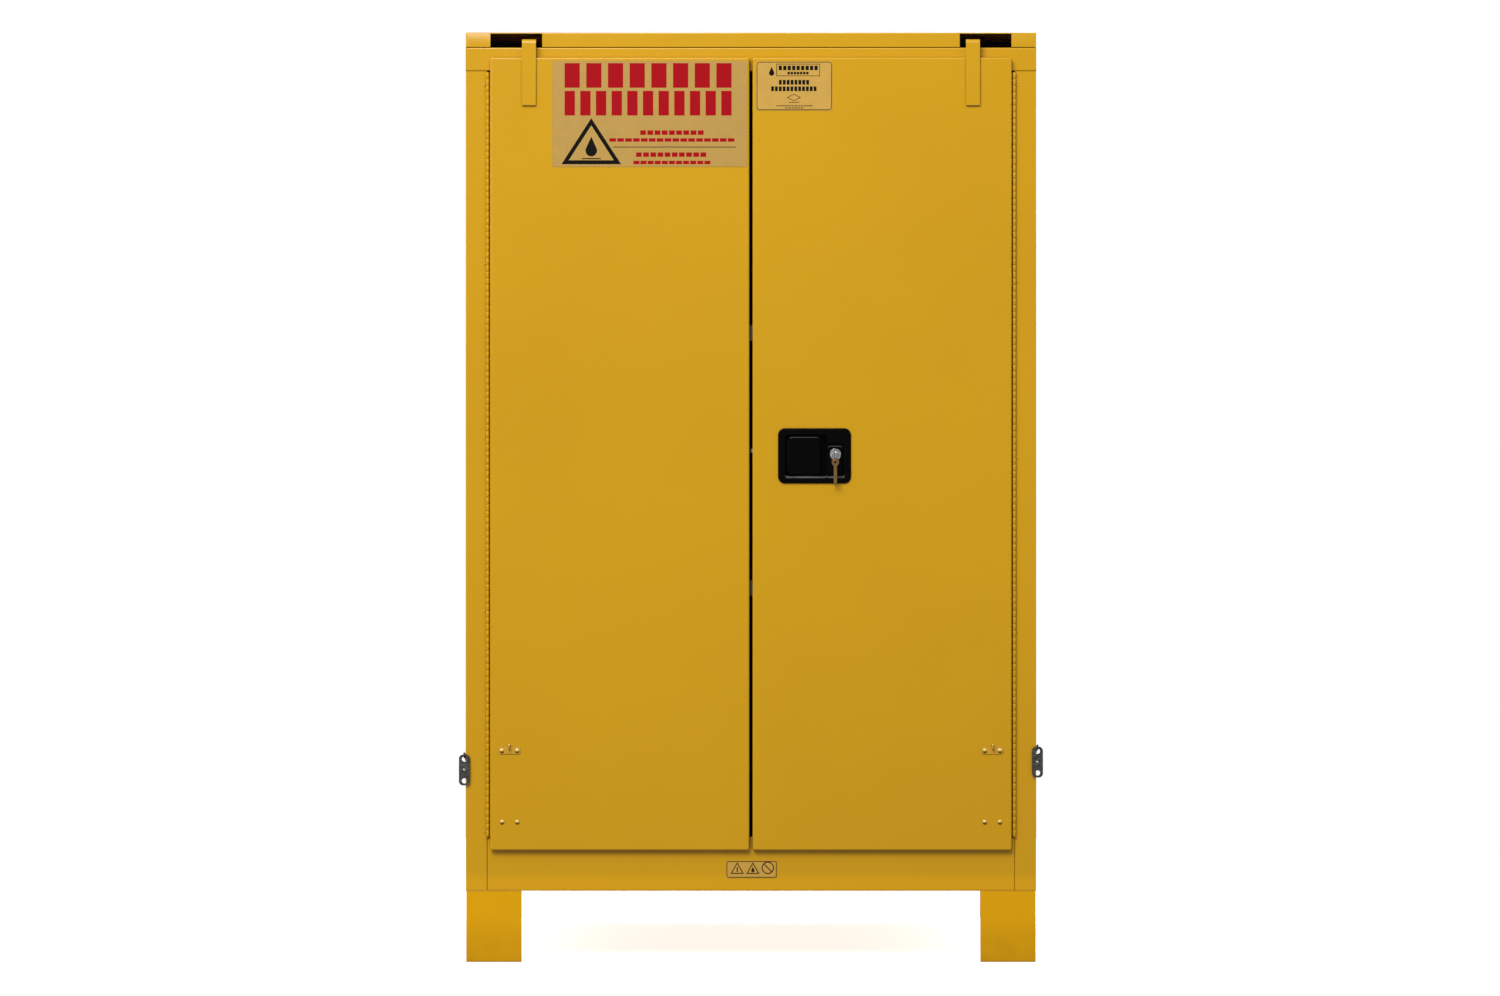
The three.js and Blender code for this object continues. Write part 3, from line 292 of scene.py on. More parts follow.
def worn_and_highlit_paint(recipe, base, thin, scratches):
    """The same paint worn thin in its scratches, and paler in places along its edges, partly where it is
    worn thin and partly as a painted highlight.
    """
    patches = recipe.remap(recipe.noise(55, 4, 0.7), 0.38, 0.62)
    # Paler edges: partly wear, partly a painted highlight.
    edge_wear_and_highlight = recipe.calculate("MULTIPLY", recipe.edges(1.8 * MM), patches)
    base = recipe.mix(recipe.calculate("MULTIPLY", edge_wear_and_highlight, 0.5), base, thin)
    return recipe.mix(recipe.calculate("MULTIPLY", scratches, 0.2), base, thin)


def dusty_and_shaded_paint(recipe, base, dust_top, seam):
    """The same paint, dusty below dust_top, with painted shade in corners and seams up to seam wide."""
    if dust_top:
        low_down = recipe.remap(recipe.coordinate("Z"), dust_top, 0, 0, 0.5)
        dust_and_sheen = recipe.calculate("MULTIPLY", low_down, recipe.noise(14, 5, 0.65))
        base = recipe.mix(dust_and_sheen, base, DUST_AND_SHADE_BROWN)
    # Painted shade: darker in corners and seams.
    return recipe.mix(recipe.calculate("MULTIPLY", recipe.corners(seam), 0.8), base, DUST_AND_SHADE_BROWN)


def powder_coat(
    name, colour, shade, thin=WORN_AND_HIGHLIT_YELLOW, *, roughness, gloss, dust_top=0.0, seam=9 * MM, shade_plane=None
):
    """Sprayed and baked paint with orange peel. Behind the shade plane it is painted black, with almost no
    gloss, as painted shade.
    """
    r = Recipe(name)
    scratches = scratches_on(r)
    base = fresh_paint(r, colour, shade)
    base = worn_and_highlit_paint(r, base, thin, scratches)
    base = dusty_and_shaded_paint(r, base, dust_top, seam)
    if shade_plane is not None:
        # Painted shade: black and dull behind the shade plane.
        painted_shade_behind = r.remap(r.coordinate("Y"), shade_plane, shade_plane + PAINTED_SHADE_DEPTH)
        base = r.mix(painted_shade_behind, base, PAINTED_SHADE_BLACK)
        gloss = r.remap(painted_shade_behind, 0, 1, gloss, 0.02)
    rough = r.remap(r.noise(24, 3), 0.3, 0.7, roughness - 0.01, roughness + 0.03)
    rough = r.calculate("ADD", rough, r.calculate("MULTIPLY", scratches, 0.1))
    dents = r.bump(r.noise(5, 1), 0.35 * MM)
    peel = r.bump(r.noise(430, 2, 0.4), 0.05 * MM, dents)
    return r.finish(base, rough, peel, Specular_IOR_Level=gloss)


def rivet_paint():
    """Thick glossy paint on rivets and brackets, with a painted highlight on top and painted shade
    underneath and in the corners.
    """
    r = Recipe("rivet_paint")
    facing = r.coordinate("Z", "Normal")
    # Painted highlight: paler on the upward-facing tops.
    rubbed_and_highlit = r.calculate("MULTIPLY", r.remap(facing, 0.1, 0.5), r.remap(r.noise(700, 3), 0.2, 0.5))
    base = r.mix(r.noise(60, 3), YELLOW, YELLOW_SHADE)
    base = r.mix(r.calculate("MULTIPLY", rubbed_and_highlit, 0.85), base, PAINTED_HIGHLIGHT_CREAM)
    # Painted shade: darker on the downward-facing undersides.
    base = r.mix(r.remap(facing, -0.05, -0.35), base, PAINTED_SHADE_BROWN)
    # Painted shade: darker in the corners.
    base = r.mix(r.calculate("MULTIPLY", r.corners(4 * MM), 0.9), base, PAINTED_SHADE_BROWN)
    rough = r.remap(r.noise(200, 3), 0.3, 0.7, 0.14, 0.26)
    return r.finish(base, rough, r.bump(r.noise(430, 2), 0.05 * MM), Specular_IOR_Level=0.8)


def galvanised_sheet():
    """Hot-dip zinc with large crystal spangles."""
    r = Recipe("galvanised_sheet")
    crystals = r.cells(75)
    base = r.mix(crystals, (0.30, 0.32, 0.32), (0.50, 0.52, 0.53))
    base = r.mix(r.remap(r.noise(30, 5, 0.7), 0.45, 0.75, 0, 0.5), base, (0.24, 0.25, 0.25))
    rough = r.remap(crystals, 0, 1, 0.32, 0.55)
    grain = r.bump(r.noise(600, 3), 0.02 * MM)
    return r.finish(base, rough, grain, Metallic=0.9)


def zinc_plate():
    """Bright zinc on turned and pressed steel, with fine brushing and painted shade in its corners."""
    r = Recipe("zinc_plate")
    brushing = r.noise(1, 4, 0.6, r.stretched((220, 220, 2600)))
    base = r.mix(brushing, (0.42, 0.42, 0.39), (0.62, 0.62, 0.60))
    # Painted shade: darker in corners.
    base = r.mix(r.calculate("MULTIPLY", r.corners(4 * MM), 0.7), base, (0.10, 0.09, 0.07))
    rough = r.remap(brushing, 0.3, 0.7, 0.24, 0.40)
    return r.finish(base, rough, r.bump(brushing, 0.02 * MM), Metallic=0.95)


def dark_oxide():
    """Blackened steel that is worn bright along its edges."""
    r = Recipe("dark_oxide")
    cloud = r.noise(160, 5, 0.65)
    base = r.mix(r.remap(cloud, 0.35, 0.65), (0.055, 0.056, 0.052), (0.12, 0.12, 0.115))
    rubbed_and_highlit = r.calculate("MULTIPLY", r.edges(0.5 * MM), r.noise(700, 3))
    base = r.mix(r.calculate("MULTIPLY", rubbed_and_highlit, 0.6), base, (0.30, 0.30, 0.28))
    rough = r.remap(cloud, 0.3, 0.7, 0.38, 0.55)
    return r.finish(base, rough, r.bump(r.noise(1400, 3), 0.02 * MM), Metallic=0.85)


def black_moulding():
    """Black glass-filled plastic: a fine pebble grain, edges paler partly from wear and partly as a painted
    highlight, and a painted highlight in patches on the upward-facing ledges below the rim.
    """
    r = Recipe("black_moulding")
    pebbles = r.cells(1500, "Distance")
    base = r.mix(r.noise(90, 4), (0.0008, 0.0010, 0.0007), (0.0018, 0.0020, 0.0015))
    # Paler edges: partly wear, partly a painted highlight.
    base = r.mix(r.calculate("MULTIPLY", r.edges(0.8 * MM), 0.5), base, (0.026, 0.027, 0.026))
    below_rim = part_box("latch_housing")[1].z - LATCH_RIM
    sheltered = r.remap(r.coordinate("Z"), below_rim, below_rim + 2 * MM, 1, 0)
    # Painted highlight: paler on the upward-facing ledges below the rim, in patches.
    ledge = r.remap(r.coordinate("Z", "Normal"), 0.35, 0.75)
    patches = r.remap(r.noise(60, 4, 0.7), 0.25, 0.60, 0.35, 0.9)
    dust_and_sheen = r.calculate("MULTIPLY", r.calculate("MULTIPLY", ledge, sheltered), patches)
    base = r.mix(dust_and_sheen, base, (0.10, 0.104, 0.10))
    rough = r.remap(r.noise(130, 4, 0.6), 0.3, 0.7, 0.22, 0.34)
    return r.finish(base, rough, r.bump(pebbles, 0.03 * MM), Specular_IOR_Level=0.05)


def chrome():
    """Polished plating with hairline scratches, dull smears and painted shade in its corners."""
    r = Recipe("chrome")
    smears = r.noise(240, 4, 0.6)
    hairlines = r.noise(1, 2, 0.5, r.stretched((300, 4200, 900)))
    base = r.mix(smears, (0.50, 0.53, 0.54), (0.72, 0.75, 0.77))
    # Painted shade: near black in corners.
    base = r.mix(r.calculate("MULTIPLY", r.corners(2.5 * MM), 0.8), base, (0.03, 0.03, 0.03))
    rough = r.remap(smears, 0.3, 0.7, 0.08, 0.20)
    return r.finish(base, rough, r.bump(hairlines, 0.008 * MM), Metallic=1.0)


def worn_brass():
    """Tarnished brass, brown in patches and paler where it is handled, with plating on the key ring."""
    r = Recipe("worn_brass")
    tarnish = r.remap(r.noise(180, 5, 0.65), 0.35, 0.65)
    base = r.mix(tarnish, (0.42, 0.25, 0.085), (0.20, 0.105, 0.035))
    base = r.mix(r.calculate("MULTIPLY", r.edges(0.35 * MM), 0.8), base, (0.62, 0.56, 0.42))
    ring_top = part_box("spare_key")[1].z
    on_ring = r.remap(r.coordinate("Z"), ring_top - 14 * MM, ring_top - 12 * MM)
    base = r.mix(on_ring, base, (0.55, 0.57, 0.57))
    rough = r.remap(tarnish, 0, 1, 0.26, 0.46)
    return r.finish(base, rough, r.bump(r.noise(900, 3), 0.02 * MM), Metallic=0.9)


def label_film(name, colour):
    """Printed vinyl film, faintly mottled by its adhesive."""
    r = Recipe(name)
    mottle = r.remap(r.noise(45, 4, 0.6), 0.3, 0.7)
    darker = tuple(0.93 * c for c in colour)
    base = r.mix(mottle, colour, darker)
    base = r.mix(r.remap(r.noise(2600, 1), 0.55, 0.75, 0, 0.2), base, darker)
    rough = r.remap(mottle, 0, 1, 0.42, 0.52)
    ripple = r.bump(r.noise(60, 2), 0.06 * MM)
    return r.finish(base, rough, ripple, Specular_IOR_Level=0.35)


def ink(name, colour):
    """Screen-printed ink with pinholes and an uneven edge to its gloss."""
    r = Recipe(name)
    thin = tuple(1.4 * c + 0.004 for c in colour)
    base = r.mix(r.remap(r.noise(420, 4, 0.7), 0.55, 0.80, 0, 0.6), colour, thin)
    rough = r.remap(r.noise(200, 3), 0.3, 0.7, 0.38, 0.55)
    return r.finish(base, rough, r.bump(r.noise(1800, 2), 0.01 * MM), Specular_IOR_Level=0.08)


def floor_paint():
    """The pale studio floor."""
    r = Recipe("studio_floor")
    base = r.mix(r.noise(3, 3), (0.90, 0.90, 0.90), (0.93, 0.93, 0.93))
    white = (1, 1, 1)
    return r.finish(base, 0.7, Specular_IOR_Level=0.2, Emission_Color=white, Emission_Strength=FLOOR_GLOW)


# ---------------------------------------------------------------- finishes of the CAD nodes

def smooth_shading():
    """A geometry-node group that shades faces smoothly and keeps steep edges sharp."""
    group = bpy.data.node_groups.new("smooth_by_angle", "GeometryNodeTree")
    group.interface.new_socket("Geometry", in_out="INPUT", socket_type="NodeSocketGeometry")
    group.interface.new_socket("Geometry", in_out="OUTPUT", socket_type="NodeSocketGeometry")
    start = group.nodes.new("NodeGroupInput")
    end = group.nodes.new("NodeGroupOutput")
    faces = group.nodes.new("GeometryNodeSetShadeSmooth")
    creases = group.nodes.new("GeometryNodeSetShadeSmooth")
    creases.domain = "EDGE"
    creases.inputs["Shade Smooth"].default_value = False
    angle = group.nodes.new("GeometryNodeInputMeshEdgeAngle")
    steep = group.nodes.new("FunctionNodeCompare")
    steep.inputs["B"].default_value = SHARP_ANGLE
    group.links.new(angle.outputs["Unsigned Angle"], steep.inputs["A"])
    group.links.new(start.outputs[0], faces.inputs["Geometry"])
    group.links.new(faces.outputs["Geometry"], creases.inputs["Geometry"])
    group.links.new(steep.outputs["Result"], creases.inputs["Selection"])
    group.links.new(creases.outputs["Geometry"], end.inputs[0])
    return group


def soften(node, width, shading):
    """Rounds a CAD node's sharp edges a little, so that they catch the light, and smooths its folds."""
    weld = node.modifiers.new("weld", "WELD")
    weld.merge_threshold = MERGE_DISTANCE
    flatten = node.modifiers.new("flatten", "DECIMATE")
    flatten.decimate_type = "DISSOLVE"
    flatten.angle_limit = FLAT_ANGLE
    smooth = node.modifiers.new("smooth", "NODES")
    smooth.node_group = shading
    bevel = node.modifiers.new("bevel", "BEVEL")
    bevel.limit_method = "ANGLE"
    bevel.angle_limit = SHARP_ANGLE
    bevel.width = width
    bevel.segments = 2
    bevel.miter_outer = "MITER_ARC"
    normals = node.modifiers.new("normals", "WEIGHTED_NORMAL")
    normals.keep_sharp = True


def paired(*names):
    return [f"{name}_{side}" for name in names for side in SIDES]


def make_paints():
    """The finishes that more than one kind of part shares."""
    body_coat = {"roughness": 0.22, "gloss": 0.40}
    head_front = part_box("head_rail")[0].y
    knuckle_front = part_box("hinge_frame_leaf_left")[0].y
    return {
        "yellow": powder_coat("yellow_powder_coat", YELLOW, YELLOW_SHADE, **body_coat),
        # Painted shade: the closer arms turn black behind the head rail's front.
        "closer": powder_coat("closer_paint", YELLOW, YELLOW_SHADE, **body_coat, shade_plane=head_front),
        "legs": powder_coat(
            "leg_powder_coat", LEG_YELLOW, LEG_SHADE, roughness=0.40, gloss=0.15, dust_top=DUST_TOP
        ),
        "liner": powder_coat("liner_powder_coat", LINER_YELLOW, LINER_SHADE, roughness=0.48, gloss=0.35),
        # Painted shade: the hinge turns black just behind the front of its knuckles.
        "hinge": powder_coat(
            "hinge_paint", YELLOW, YELLOW_SHADE, YELLOW,
            roughness=0.42, gloss=0.15, seam=3 * MM, shade_plane=knuckle_front + 1 * MM,
        ),
        "rivets": rivet_paint(),
        "zinc": zinc_plate(),
        "dark_steel": dark_oxide(),
    }


def cad_finishes(paints):
    """For each group of CAD nodes: the material, the edge rounding in millimetres and the names."""
    yellow, zinc = paints["yellow"], paints["zinc"]
    return (
        (yellow, 0.45, ["back_panel", "bottom_panel", "top_cap", "head_rail", "bottom_rail"]),
        (yellow, 0.45, paired("side_panel", "vent_cap", "door_skin")),
        (paints["closer"], 0.35, paired("closer_arm")),
        (paints["rivets"], 0.35, paired("link_bracket", "lower_rivets")),
        (paints["hinge"], 0.25, paired("hinge_frame_leaf", "hinge_door_leaf")),
        (paints["legs"], 0.6, paired("leg_front", "leg_rear")),
        (paints["liner"], 0.4, ["liner_back", "liner_top", "sump_tray", *paired("liner", "door_pan")]),
        (galvanised_sheet(), 0.35, ["shelf_lower", "shelf_upper", *paired("shelf_rack")]),
        (zinc, 0.3, ["latch_bolt", "latch_rod_upper", "latch_rod_lower", "strike_plate"]),
        (zinc, 0.3, paired("flame_arrestor", "closer_post")),
        (paints["dark_steel"], 0.25, paired("closer_spring", "link_hook", "fusible_link")),
        (black_moulding(), 0.5, ["latch_housing", "latch_paddle"]),
        (chrome(), 0.3, ["lock_cylinder", "lock_plug"]),
        (worn_brass(), 0.25, ["ground_screw", "spare_key"]),
        (label_film("warning_film", WARNING_FILM), 0.05, ["label_warning"]),
        (label_film("notice_film", NOTICE_FILM), 0.05, ["label_notice", "label_pictograms"]),
    )


def finish_cad_nodes(paints):
    """Gives each CAD node its material and rounds its edges."""
    shading = smooth_shading()
    for material, edge_mm, names in cad_finishes(paints):
        for name in names:
            node = frame["nodes"][name]
            node.data.materials.clear()
            node.data.materials.append(material)
            soften(node, edge_mm * MM, shading)


# ---------------------------------------------------------------- building pieces

def make_piece(name, bm, material, body):
    """Turns a finished bmesh into one piece that rides on a body."""
    bmesh.ops.recalc_face_normals(bm, faces=bm.faces)
    mesh = bpy.data.meshes.new(name)
    bm.to_mesh(mesh)
    bm.free()
    mesh.materials.append(material)
    piece = bpy.data.objects.new(name, mesh)
    bpy.context.scene.collection.objects.link(piece)
    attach(piece, body)
    return piece


def add_rings(bm, rings, closed_ends=True):
    """Joins a row of rings of points with faces, and caps the two ends."""
    rows = [[bm.verts.new(point) for point in ring] for ring in rings]
    count = len(rows[0])
    for low, high in zip(rows, rows[1:]):
        for i in range(count):
            j = (i + 1) % count
            bm.faces.new((low[i], low[j], high[j], high[i])).smooth = True
    if closed_ends:
        bm.faces.new(reversed(rows[0]))
        bm.faces.new(rows[-1])


def circle_points(centre, radius, z, sides):
    """Points of a level circle."""
    turn = math.tau / sides
    x, y = centre
    return [
        Vector((x + radius * math.cos(i * turn), y + radius * math.sin(i * turn), z))
        for i in range(sides)
    ]


def add_box(bm, span_x, span_y, span_z):
    corners = [(x, y) for x, y in ((0, 0), (1, 0), (1, 1), (0, 1))]
    rings = [[Vector((span_x[x], span_y[y], z)) for x, y in corners] for z in span_z]
    add_rings(bm, rings)
    for face in bm.faces[-6:]:
        face.smooth = False


def add_tube(bm, path, radius, sides=8):
    """A round wire along a line of points."""
    rings = []
    for i, point in enumerate(path):
        along = (path[min(i + 1, len(path) - 1)] - path[max(i - 1, 0)]).normalized()
        across = along.cross(Vector((0, 0, 1))).normalized()
        up = across.cross(along)
        turn = math.tau / sides
        rings.append([
            point + radius * (across * math.cos(k * turn) + up * math.sin(k * turn)) for k in range(sides)
        ])
    add_rings(bm, rings)


def add_dome(bm, foot, radius, height, outward, rng, wobble, sides=20, rows=6):
    """A low, slightly irregular bead of weld or solder that bulges outward from a surface."""
    across = outward.orthogonal().normalized()
    up = outward.cross(across)
    lumps = [1 + wobble * rng.uniform(-1, 1) for _ in range(sides)]
    rings = []
    for row in range(rows):
        tilt = row / rows * math.pi / 2
        ring = []
        for k, lump in enumerate(lumps):
            angle = k * math.tau / sides
            flat = across * math.cos(angle) + up * math.sin(angle)
            ring.append(foot + flat * radius * lump * math.cos(tilt) + outward * height * math.sin(tilt))
        rings.append(ring)
    add_rings(bm, rings)


# ---------------------------------------------------------------- hinges

def add_knuckle(bm, centre, span, radius, rim=KNUCKLE_RIM):
    """One barrel with softened rims."""
    low, high = span
    heights = ((low, radius - rim), (low + rim, radius), (high - rim, radius), (high, radius - rim))
    add_rings(bm, [circle_points(centre, r, z, 20) for z, r in heights])


def frame_leaf_plan(axis_x, axis_y, radius, back):
    """Spans of the plate behind the barrel, and of the webs that join it to its knuckles."""
    plate_x = sorted((axis_x - HINGE_SHEET / 2, axis_x + HINGE_SHEET / 2))
    plate_y = (axis_y + radius + 2 * KNUCKLE_GAP, back)
    web_y = (axis_y + WEB_START * radius, axis_y + WEB_END * radius)
    return plate_x, plate_y, plate_x, web_y


def door_leaf_plan(axis_x, axis_y, radius, back, inner, outward):
    """Spans of the plate on the door's edge, and of the webs that join it to the back of its knuckles."""
    plate_x = sorted((inner, inner + outward * HINGE_SHEET))
    web_x = sorted((inner, axis_x - outward * WEB_START * radius))
    web_y = (axis_y + radius - HINGE_SHEET, axis_y + radius)
    return plate_x, (axis_y, back), web_x, web_y


def hinge_leaf(side, kind, body, first, material):
    """A piano-hinge leaf: a long plate with every other knuckle, in place of the CAD leaf."""
    node = f"hinge_{kind}_leaf_{side}"
    low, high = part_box(node)
    outward = -1 if side == "left" else 1
    outer, inner = (high.x, low.x) if outward > 0 else (low.x, high.x)
    axis_x, axis_y, _ = next(j["pos_m"] for j in frame["joints"] if j["name"] == f"door_{side}_hinge")
    radius = abs(outer - axis_x)
    if kind == "frame":
        plan = frame_leaf_plan(axis_x, axis_y, radius, high.y)
    else:
        plan = door_leaf_plan(axis_x, axis_y, radius, high.y, inner, outward)
    plate_x, plate_y, web_x, web_y = plan
    bm = bmesh.new()
    add_box(bm, plate_x, plate_y, (low.z, high.z))
    count = round((high.z - low.z) / KNUCKLE_LENGTH)
    pitch = (high.z - low.z) / count
    for i in range(first, count, 2):
        span = (low.z + i * pitch + KNUCKLE_GAP, low.z + (i + 1) * pitch - KNUCKLE_GAP)
        add_knuckle(bm, (axis_x, axis_y), span, radius)
        add_box(bm, web_x, web_y, span)
    leaf = make_piece(f"piano_hinge_{kind}_{side}", bm, material, body)
    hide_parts(node)


def make_hinges(material):
    for side in SIDES:
        hinge_leaf(side, "frame", "cabinet", 0, material)
        hinge_leaf(side, "door", f"door_{side}", 1, material)


# ---------------------------------------------------------------- welds, springs and solder

def make_welds(material):
    """Plug welds that hold each hinge's strip to the stile, and a bead at each end of the strip."""
    rng = random.Random(WELD_SEED)
    forward = Vector((0, -1, 0))
    for side in SIDES:
        outward = -1 if side == "left" else 1
        low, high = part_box(f"hinge_frame_leaf_{side}")
        stile_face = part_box(f"side_panel_{side}")[0].y
        x = outward * (max(abs(low.x), abs(high.x)) + WELD_INSET)
        bm = bmesh.new()
        for share in WELD_PLACES[side]:
            foot = Vector((x, stile_face, low.z + share * (high.z - low.z)))
            add_dome(bm, foot, WELD_RADIUS, WELD_HEIGHT, forward, rng, wobble=0.10)
        for end in (low.z - WELD_RADIUS, high.z - 2 * WELD_RADIUS):
            foot = Vector((x - outward * 2 * WELD_RADIUS, stile_face, end))
            add_dome(bm, foot, END_WELD_RADIUS, END_WELD_HEIGHT, forward, rng, wobble=0.14)
        make_piece(f"hinge_welds_{side}", bm, material, "cabinet")


def make_springs(material):
    """A close-wound torsion spring on each closer post, in place of the CAD sleeve."""
    for side in SIDES:
        node = f"closer_spring_{side}"
        low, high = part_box(node)
        centre = (low + high) / 2
        wire = SPRING_WIRE / 2
        radius = (high.x - low.x) / 2 - wire
        height = high.z - low.z - SPRING_WIRE
        turns = int(height / SPRING_PITCH)
        steps = turns * STEPS_PER_TURN
        path = []
        for i in range(steps + 1):
            angle = i / STEPS_PER_TURN * math.tau
            rise = height * i / steps
            around = Vector((radius * math.cos(angle), radius * math.sin(angle), 0))
            path.append(Vector((centre.x, centre.y, low.z + wire + rise)) + around)
        bm = bmesh.new()
        add_tube(bm, path, wire)
        spring = make_piece(f"torsion_spring_{side}", bm, material, "cabinet")
        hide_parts(node)


def make_solder(material):
    """A drop of solder in the middle of each fusible link."""
    rng = random.Random(SOLDER_SEED)
    for side in SIDES:
        low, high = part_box(f"fusible_link_{side}")
        middle = (low + high) / 2
        foot = Vector((middle.x, low.y, middle.z))
        bm = bmesh.new()
        add_dome(bm, foot, SOLDER_RADIUS, SOLDER_HEIGHT, Vector((0, -1, 0)), rng, wobble=0.12)
        make_piece(f"link_solder_{side}", bm, material, f"link_{side}")


# ---------------------------------------------------------------- printed labels

def rectangle(x0, x1, z0, z1):
    return [(x0, z0), (x1, z0), (x1, z1), (x0, z1)]


def arc(x, z, radius, start, end, steps):
    """Points along part of a circle. Start and end are shares of a turn, anticlockwise from the right."""
    angles = [math.tau * (start + (end - start) * i / steps) for i in range(steps + 1)]
    return [(x + radius * math.cos(a), z + radius * math.sin(a)) for a in angles]


def rounded_rectangle(x0, x1, z0, z1, radius, steps=6):
    left, right = x0 + radius, x1 - radius
    low, high = z0 + radius, z1 - radius
    corners = ((right, low, -0.25), (right, high, 0), (left, high, 0.25), (left, low, 0.5))
    points = []
    for x, z, start in corners:
        points += arc(x, z, radius, start, start + 0.25, steps)
    return points


def rounded_frame(width, height, inset, line, radius):
    """A thin frame with round corners inside a label of this size."""
    outer = rounded_rectangle(inset, width - inset, inset, height - inset, radius)
    edge = inset + line
    return outer, rounded_rectangle(edge, width - edge, edge, height - edge, radius - line)


def disc(x, z, radius, sides=40):
    return arc(x, z, radius, 0, 1, sides)[:-1]


def diamond(x, z, half_width, half_height):
    return [(x - half_width, z), (x, z - half_height), (x + half_width, z), (x, z + half_height)]


def slanted_bar(x, z, length, width):
    """A bar through (x, z) that falls from the upper left to the lower right."""
    along, across = length / 2 / math.sqrt(2), width / 2 / math.sqrt(2)
    return [
        (x - along - across, z + along - across),
        (x + along - across, z - along - across),
        (x + along + across, z - along + across),
        (x - along + across, z + along + across),
    ]


def triangle(x, z, half_width, height):
    """An upright triangle with the middle of its base at (x, z)."""
    return [(x - half_width, z), (x + half_width, z), (x, z + height)]


def triangle_outline(x, z, half_width, height, line):
    """An upright triangle and the hole that leaves a line of even width."""
    slope = math.hypot(half_width, height)
    inset_side = line * (slope + half_width) / height
    inset_top = line * slope / half_width
    hole = triangle(x, z + line, half_width - inset_side, height - line - inset_top)
    return triangle(x, z, half_width, height), hole


def drop(x, z, radius):
    """A plain drop of liquid: round below and pointed above."""
    return arc(x, z, radius, -0.575, 0.075, 24) + [(x, z + 2.4 * radius)]


def blocks(x0, x1, z0, z1, count, fill):
    """A row of equal upright blocks that stands for a line of print."""
    pitch = (x1 - x0) / (count - 1 + fill)
    return [(rectangle(x0 + i * pitch, x0 + (i + fill) * pitch, z0, z1), None) for i in range(count)]


def block_rows(rows):
    """The blocks of all the rows of one label."""
    return [block for row in rows.values() for block in blocks(*row)]


def add_print(bm, outline, hole, origin, back, front):
    """A flat printed shape, given in millimetres from the label's lower left corner."""
    def ring(points, y):
        return [bm.verts.new((origin.x + x * MM, y, origin.z + z * MM)) for x, z in points]

    loops = [outline] if hole is None else [outline, hole]
    rear = [ring(points, back) for points in loops]
    face = [ring(points, front) for points in loops]
    for low, high in zip(rear, face):
        for i in range(len(low)):
            j = (i + 1) % len(low)
            bm.faces.new((low[i], low[j], high[j], high[i]))
    for loop in (rear, face):
        if hole is None:
            bm.faces.new(loop[0])
        else:
            outer, inner = loop
            for i in range(len(outer)):
                j = (i + 1) % len(outer)
                bm.faces.new((outer[i], outer[j], inner[j], inner[i]))


def print_on(label, name, shapes, material, body):
    """Prints a list of (outline, hole) shapes on the front of a label."""
    low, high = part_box(label)
    front = low.y - INK_THICKNESS
    bm = bmesh.new()
    for outline, hole in shapes:
        add_print(bm, outline, hole, low, low.y + INK_THICKNESS / 4, front)
    make_piece(name, bm, material, body)


def print_warning(red, black):
    """Two rows of red blocks, a triangle with a drop, and small rows beside it. No lettering."""
    print_on("label_warning", "warning_print_red", block_rows(WARNING_ROWS), red, "door_left")
    middle = 74.5
    ground_line = rectangle(56, 93, 14.5, 16.5)
    rule_between_lines = rectangle(116, 351, 37, 38.4)
    symbol = [
        triangle_outline(middle, 4.9, half_width=57, height=88, line=7.5),
        (drop(middle, 31, radius=11), None),
        (ground_line, None),
        (rule_between_lines, None),
    ]
    print_on("label_warning", "warning_print_black", symbol, black, "door_left")


def label_size(label):
    """Width and height of a label in millimetres."""
    low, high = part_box(label)
    return (high.x - low.x) / MM, (high.z - low.z) / MM


def print_notice(black):
    """A thin rounded border, a boxed heading, rows of blocks and a diamond. No lettering."""
    heading_box = (rectangle(38.6, 121.9, 65.7, 89.2), rectangle(39.7, 120.8, 66.8, 88.1))
    diamond_ring = (diamond(72.1, 24.8, 13.7, 6.7), diamond(72.1, 24.8, 11.2, 5.5))
    shapes = [
        rounded_frame(*label_size("label_notice"), inset=1, line=1.2, radius=6),
        heading_box,
        diamond_ring,
        (drop(29.5, 71.5, radius=5), None),
        *block_rows(NOTICE_ROWS),
    ]
    print_on("label_notice", "notice_print", shapes, black, "door_right")


def print_pictograms(brown):
    """A border with two triangles and a crossed ring, each round a plain mark."""
    base = 8
    first, second = 21, 51
    ring = (79.6, 19.4)
    outline = {"half_width": 12.8, "height": 22.4, "line": 1.8}
    bar = rectangle(first - 1.2, first + 1.2, 11.5, 20.5)
    shapes = [
        rounded_frame(*label_size("label_pictograms"), inset=0.7, line=1.4, radius=3.5),
        triangle_outline(first, base, **outline),
        (bar, None),
        triangle_outline(second, base, **outline),
        (drop(second, 14, radius=3.2), None),
        (disc(*ring, radius=11.9), disc(*ring, radius=9.9)),
        (slanted_bar(*ring, length=20.6, width=2.0), None),
    ]
    print_on("label_pictograms", "pictogram_print", shapes, brown, "cabinet")


def print_labels():
    red = ink("red_ink", RED_INK)
    black = ink("black_ink", BLACK_INK)
    print_warning(red, black)
    print_notice(black)
    print_pictograms(ink("brown_ink", BROWN_INK))


# ---------------------------------------------------------------- camera, light and floor

def make_camera():
    data = bpy.data.cameras.new("camera")
    data.lens = LENS_MM
    data.sensor_width = SENSOR_MM
    data.clip_end = 100
    camera = bpy.data.objects.new("camera", data)
    bpy.context.scene.collection.objects.link(camera)
    door_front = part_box("door_skin_left")[0].y
    camera.location = (CAMERA_X, door_front - CAMERA_DISTANCE, CAMERA_HEIGHT)
    camera.rotation_euler = (math.radians(90), 0, 0)
    bpy.context.scene.camera = camera


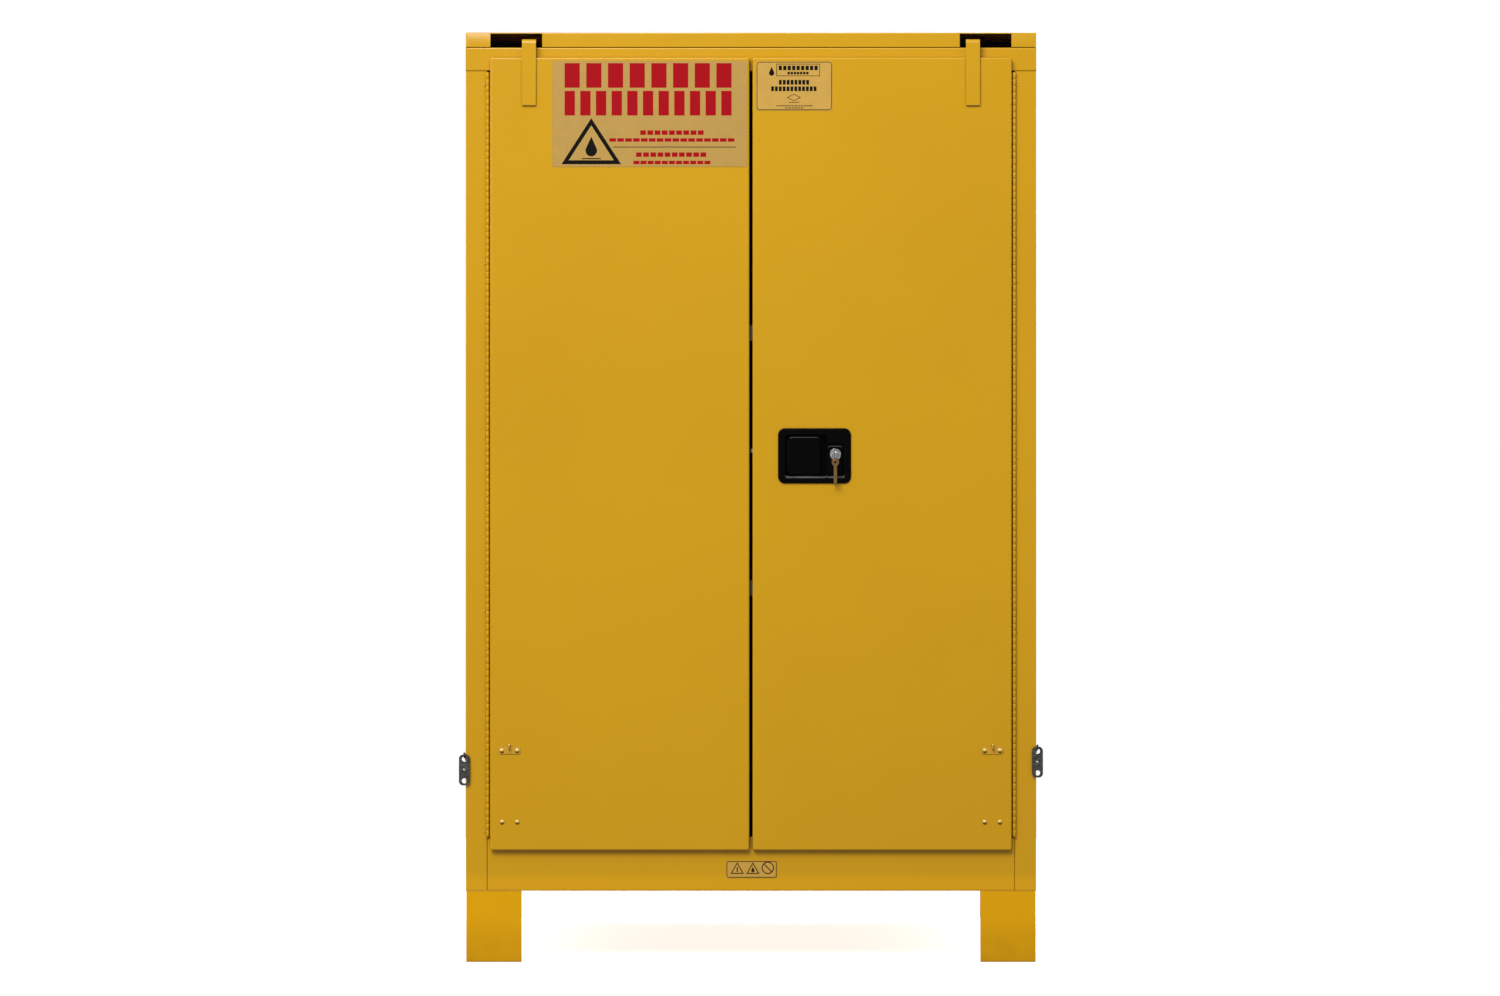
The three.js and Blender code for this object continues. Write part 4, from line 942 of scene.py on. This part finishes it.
def soft_light(name, place, size, power):
    """A large rectangular lamp that faces the middle of the cabinet."""
    data = bpy.data.lights.new(name, "AREA")
    data.shape = "RECTANGLE"
    data.size, data.size_y = size
    data.energy = power
    lamp = bpy.data.objects.new(name, data)
    bpy.context.scene.collection.objects.link(lamp)
    lamp.location = place
    lamp.rotation_mode = "QUATERNION"
    lamp.rotation_quaternion = (Vector(LAMP_AIM) - Vector(place)).to_track_quat("-Z", "Y")


def make_surroundings():
    """A white backdrop that lights the object only dimly, as in a studio with its lamps overhead."""
    world = bpy.data.worlds.new("studio")
    world.use_nodes = True
    tree = world.node_tree
    backdrop = tree.nodes["Background"]
    backdrop.inputs["Strength"].default_value = BACKDROP_STRENGTH
    dim = tree.nodes.new("ShaderNodeBackground")
    dim.inputs["Strength"].default_value = SURROUND_STRENGTH
    ray = tree.nodes.new("ShaderNodeLightPath")
    choose = tree.nodes.new("ShaderNodeMixShader")
    tree.links.new(ray.outputs["Is Camera Ray"], choose.inputs["Fac"])
    tree.links.new(dim.outputs[0], choose.inputs[1])
    tree.links.new(backdrop.outputs[0], choose.inputs[2])
    tree.links.new(choose.outputs[0], tree.nodes["World Output"].inputs["Surface"])
    for shader in (backdrop, dim):
        shader.inputs["Color"].default_value = (1, 1, 1, 1)
    bpy.context.scene.world = world


def make_studio():
    """White surroundings and wide soft lamps above the front, the back and both sides."""
    make_surroundings()
    bpy.context.scene.view_settings.view_transform = "Standard"
    for name, (place, size, power) in LAMPS.items():
        soft_light(name, place, size, power)


def make_floor():
    """A pale round floor that takes soft shadows but throws no light back on the cabinet."""
    bpy.ops.mesh.primitive_circle_add(vertices=96, radius=FLOOR_RADIUS, fill_type="NGON")
    floor = bpy.context.object
    floor.name = "studio_floor"
    floor.data.materials.append(floor_paint())
    floor.visible_diffuse = False
    floor.visible_glossy = False


paints = make_paints()
finish_cad_nodes(paints)
make_hinges(paints["hinge"])
make_welds(paints["yellow"])
make_springs(paints["dark_steel"])
make_solder(paints["zinc"])
print_labels()
make_camera()
make_studio()
make_floor()
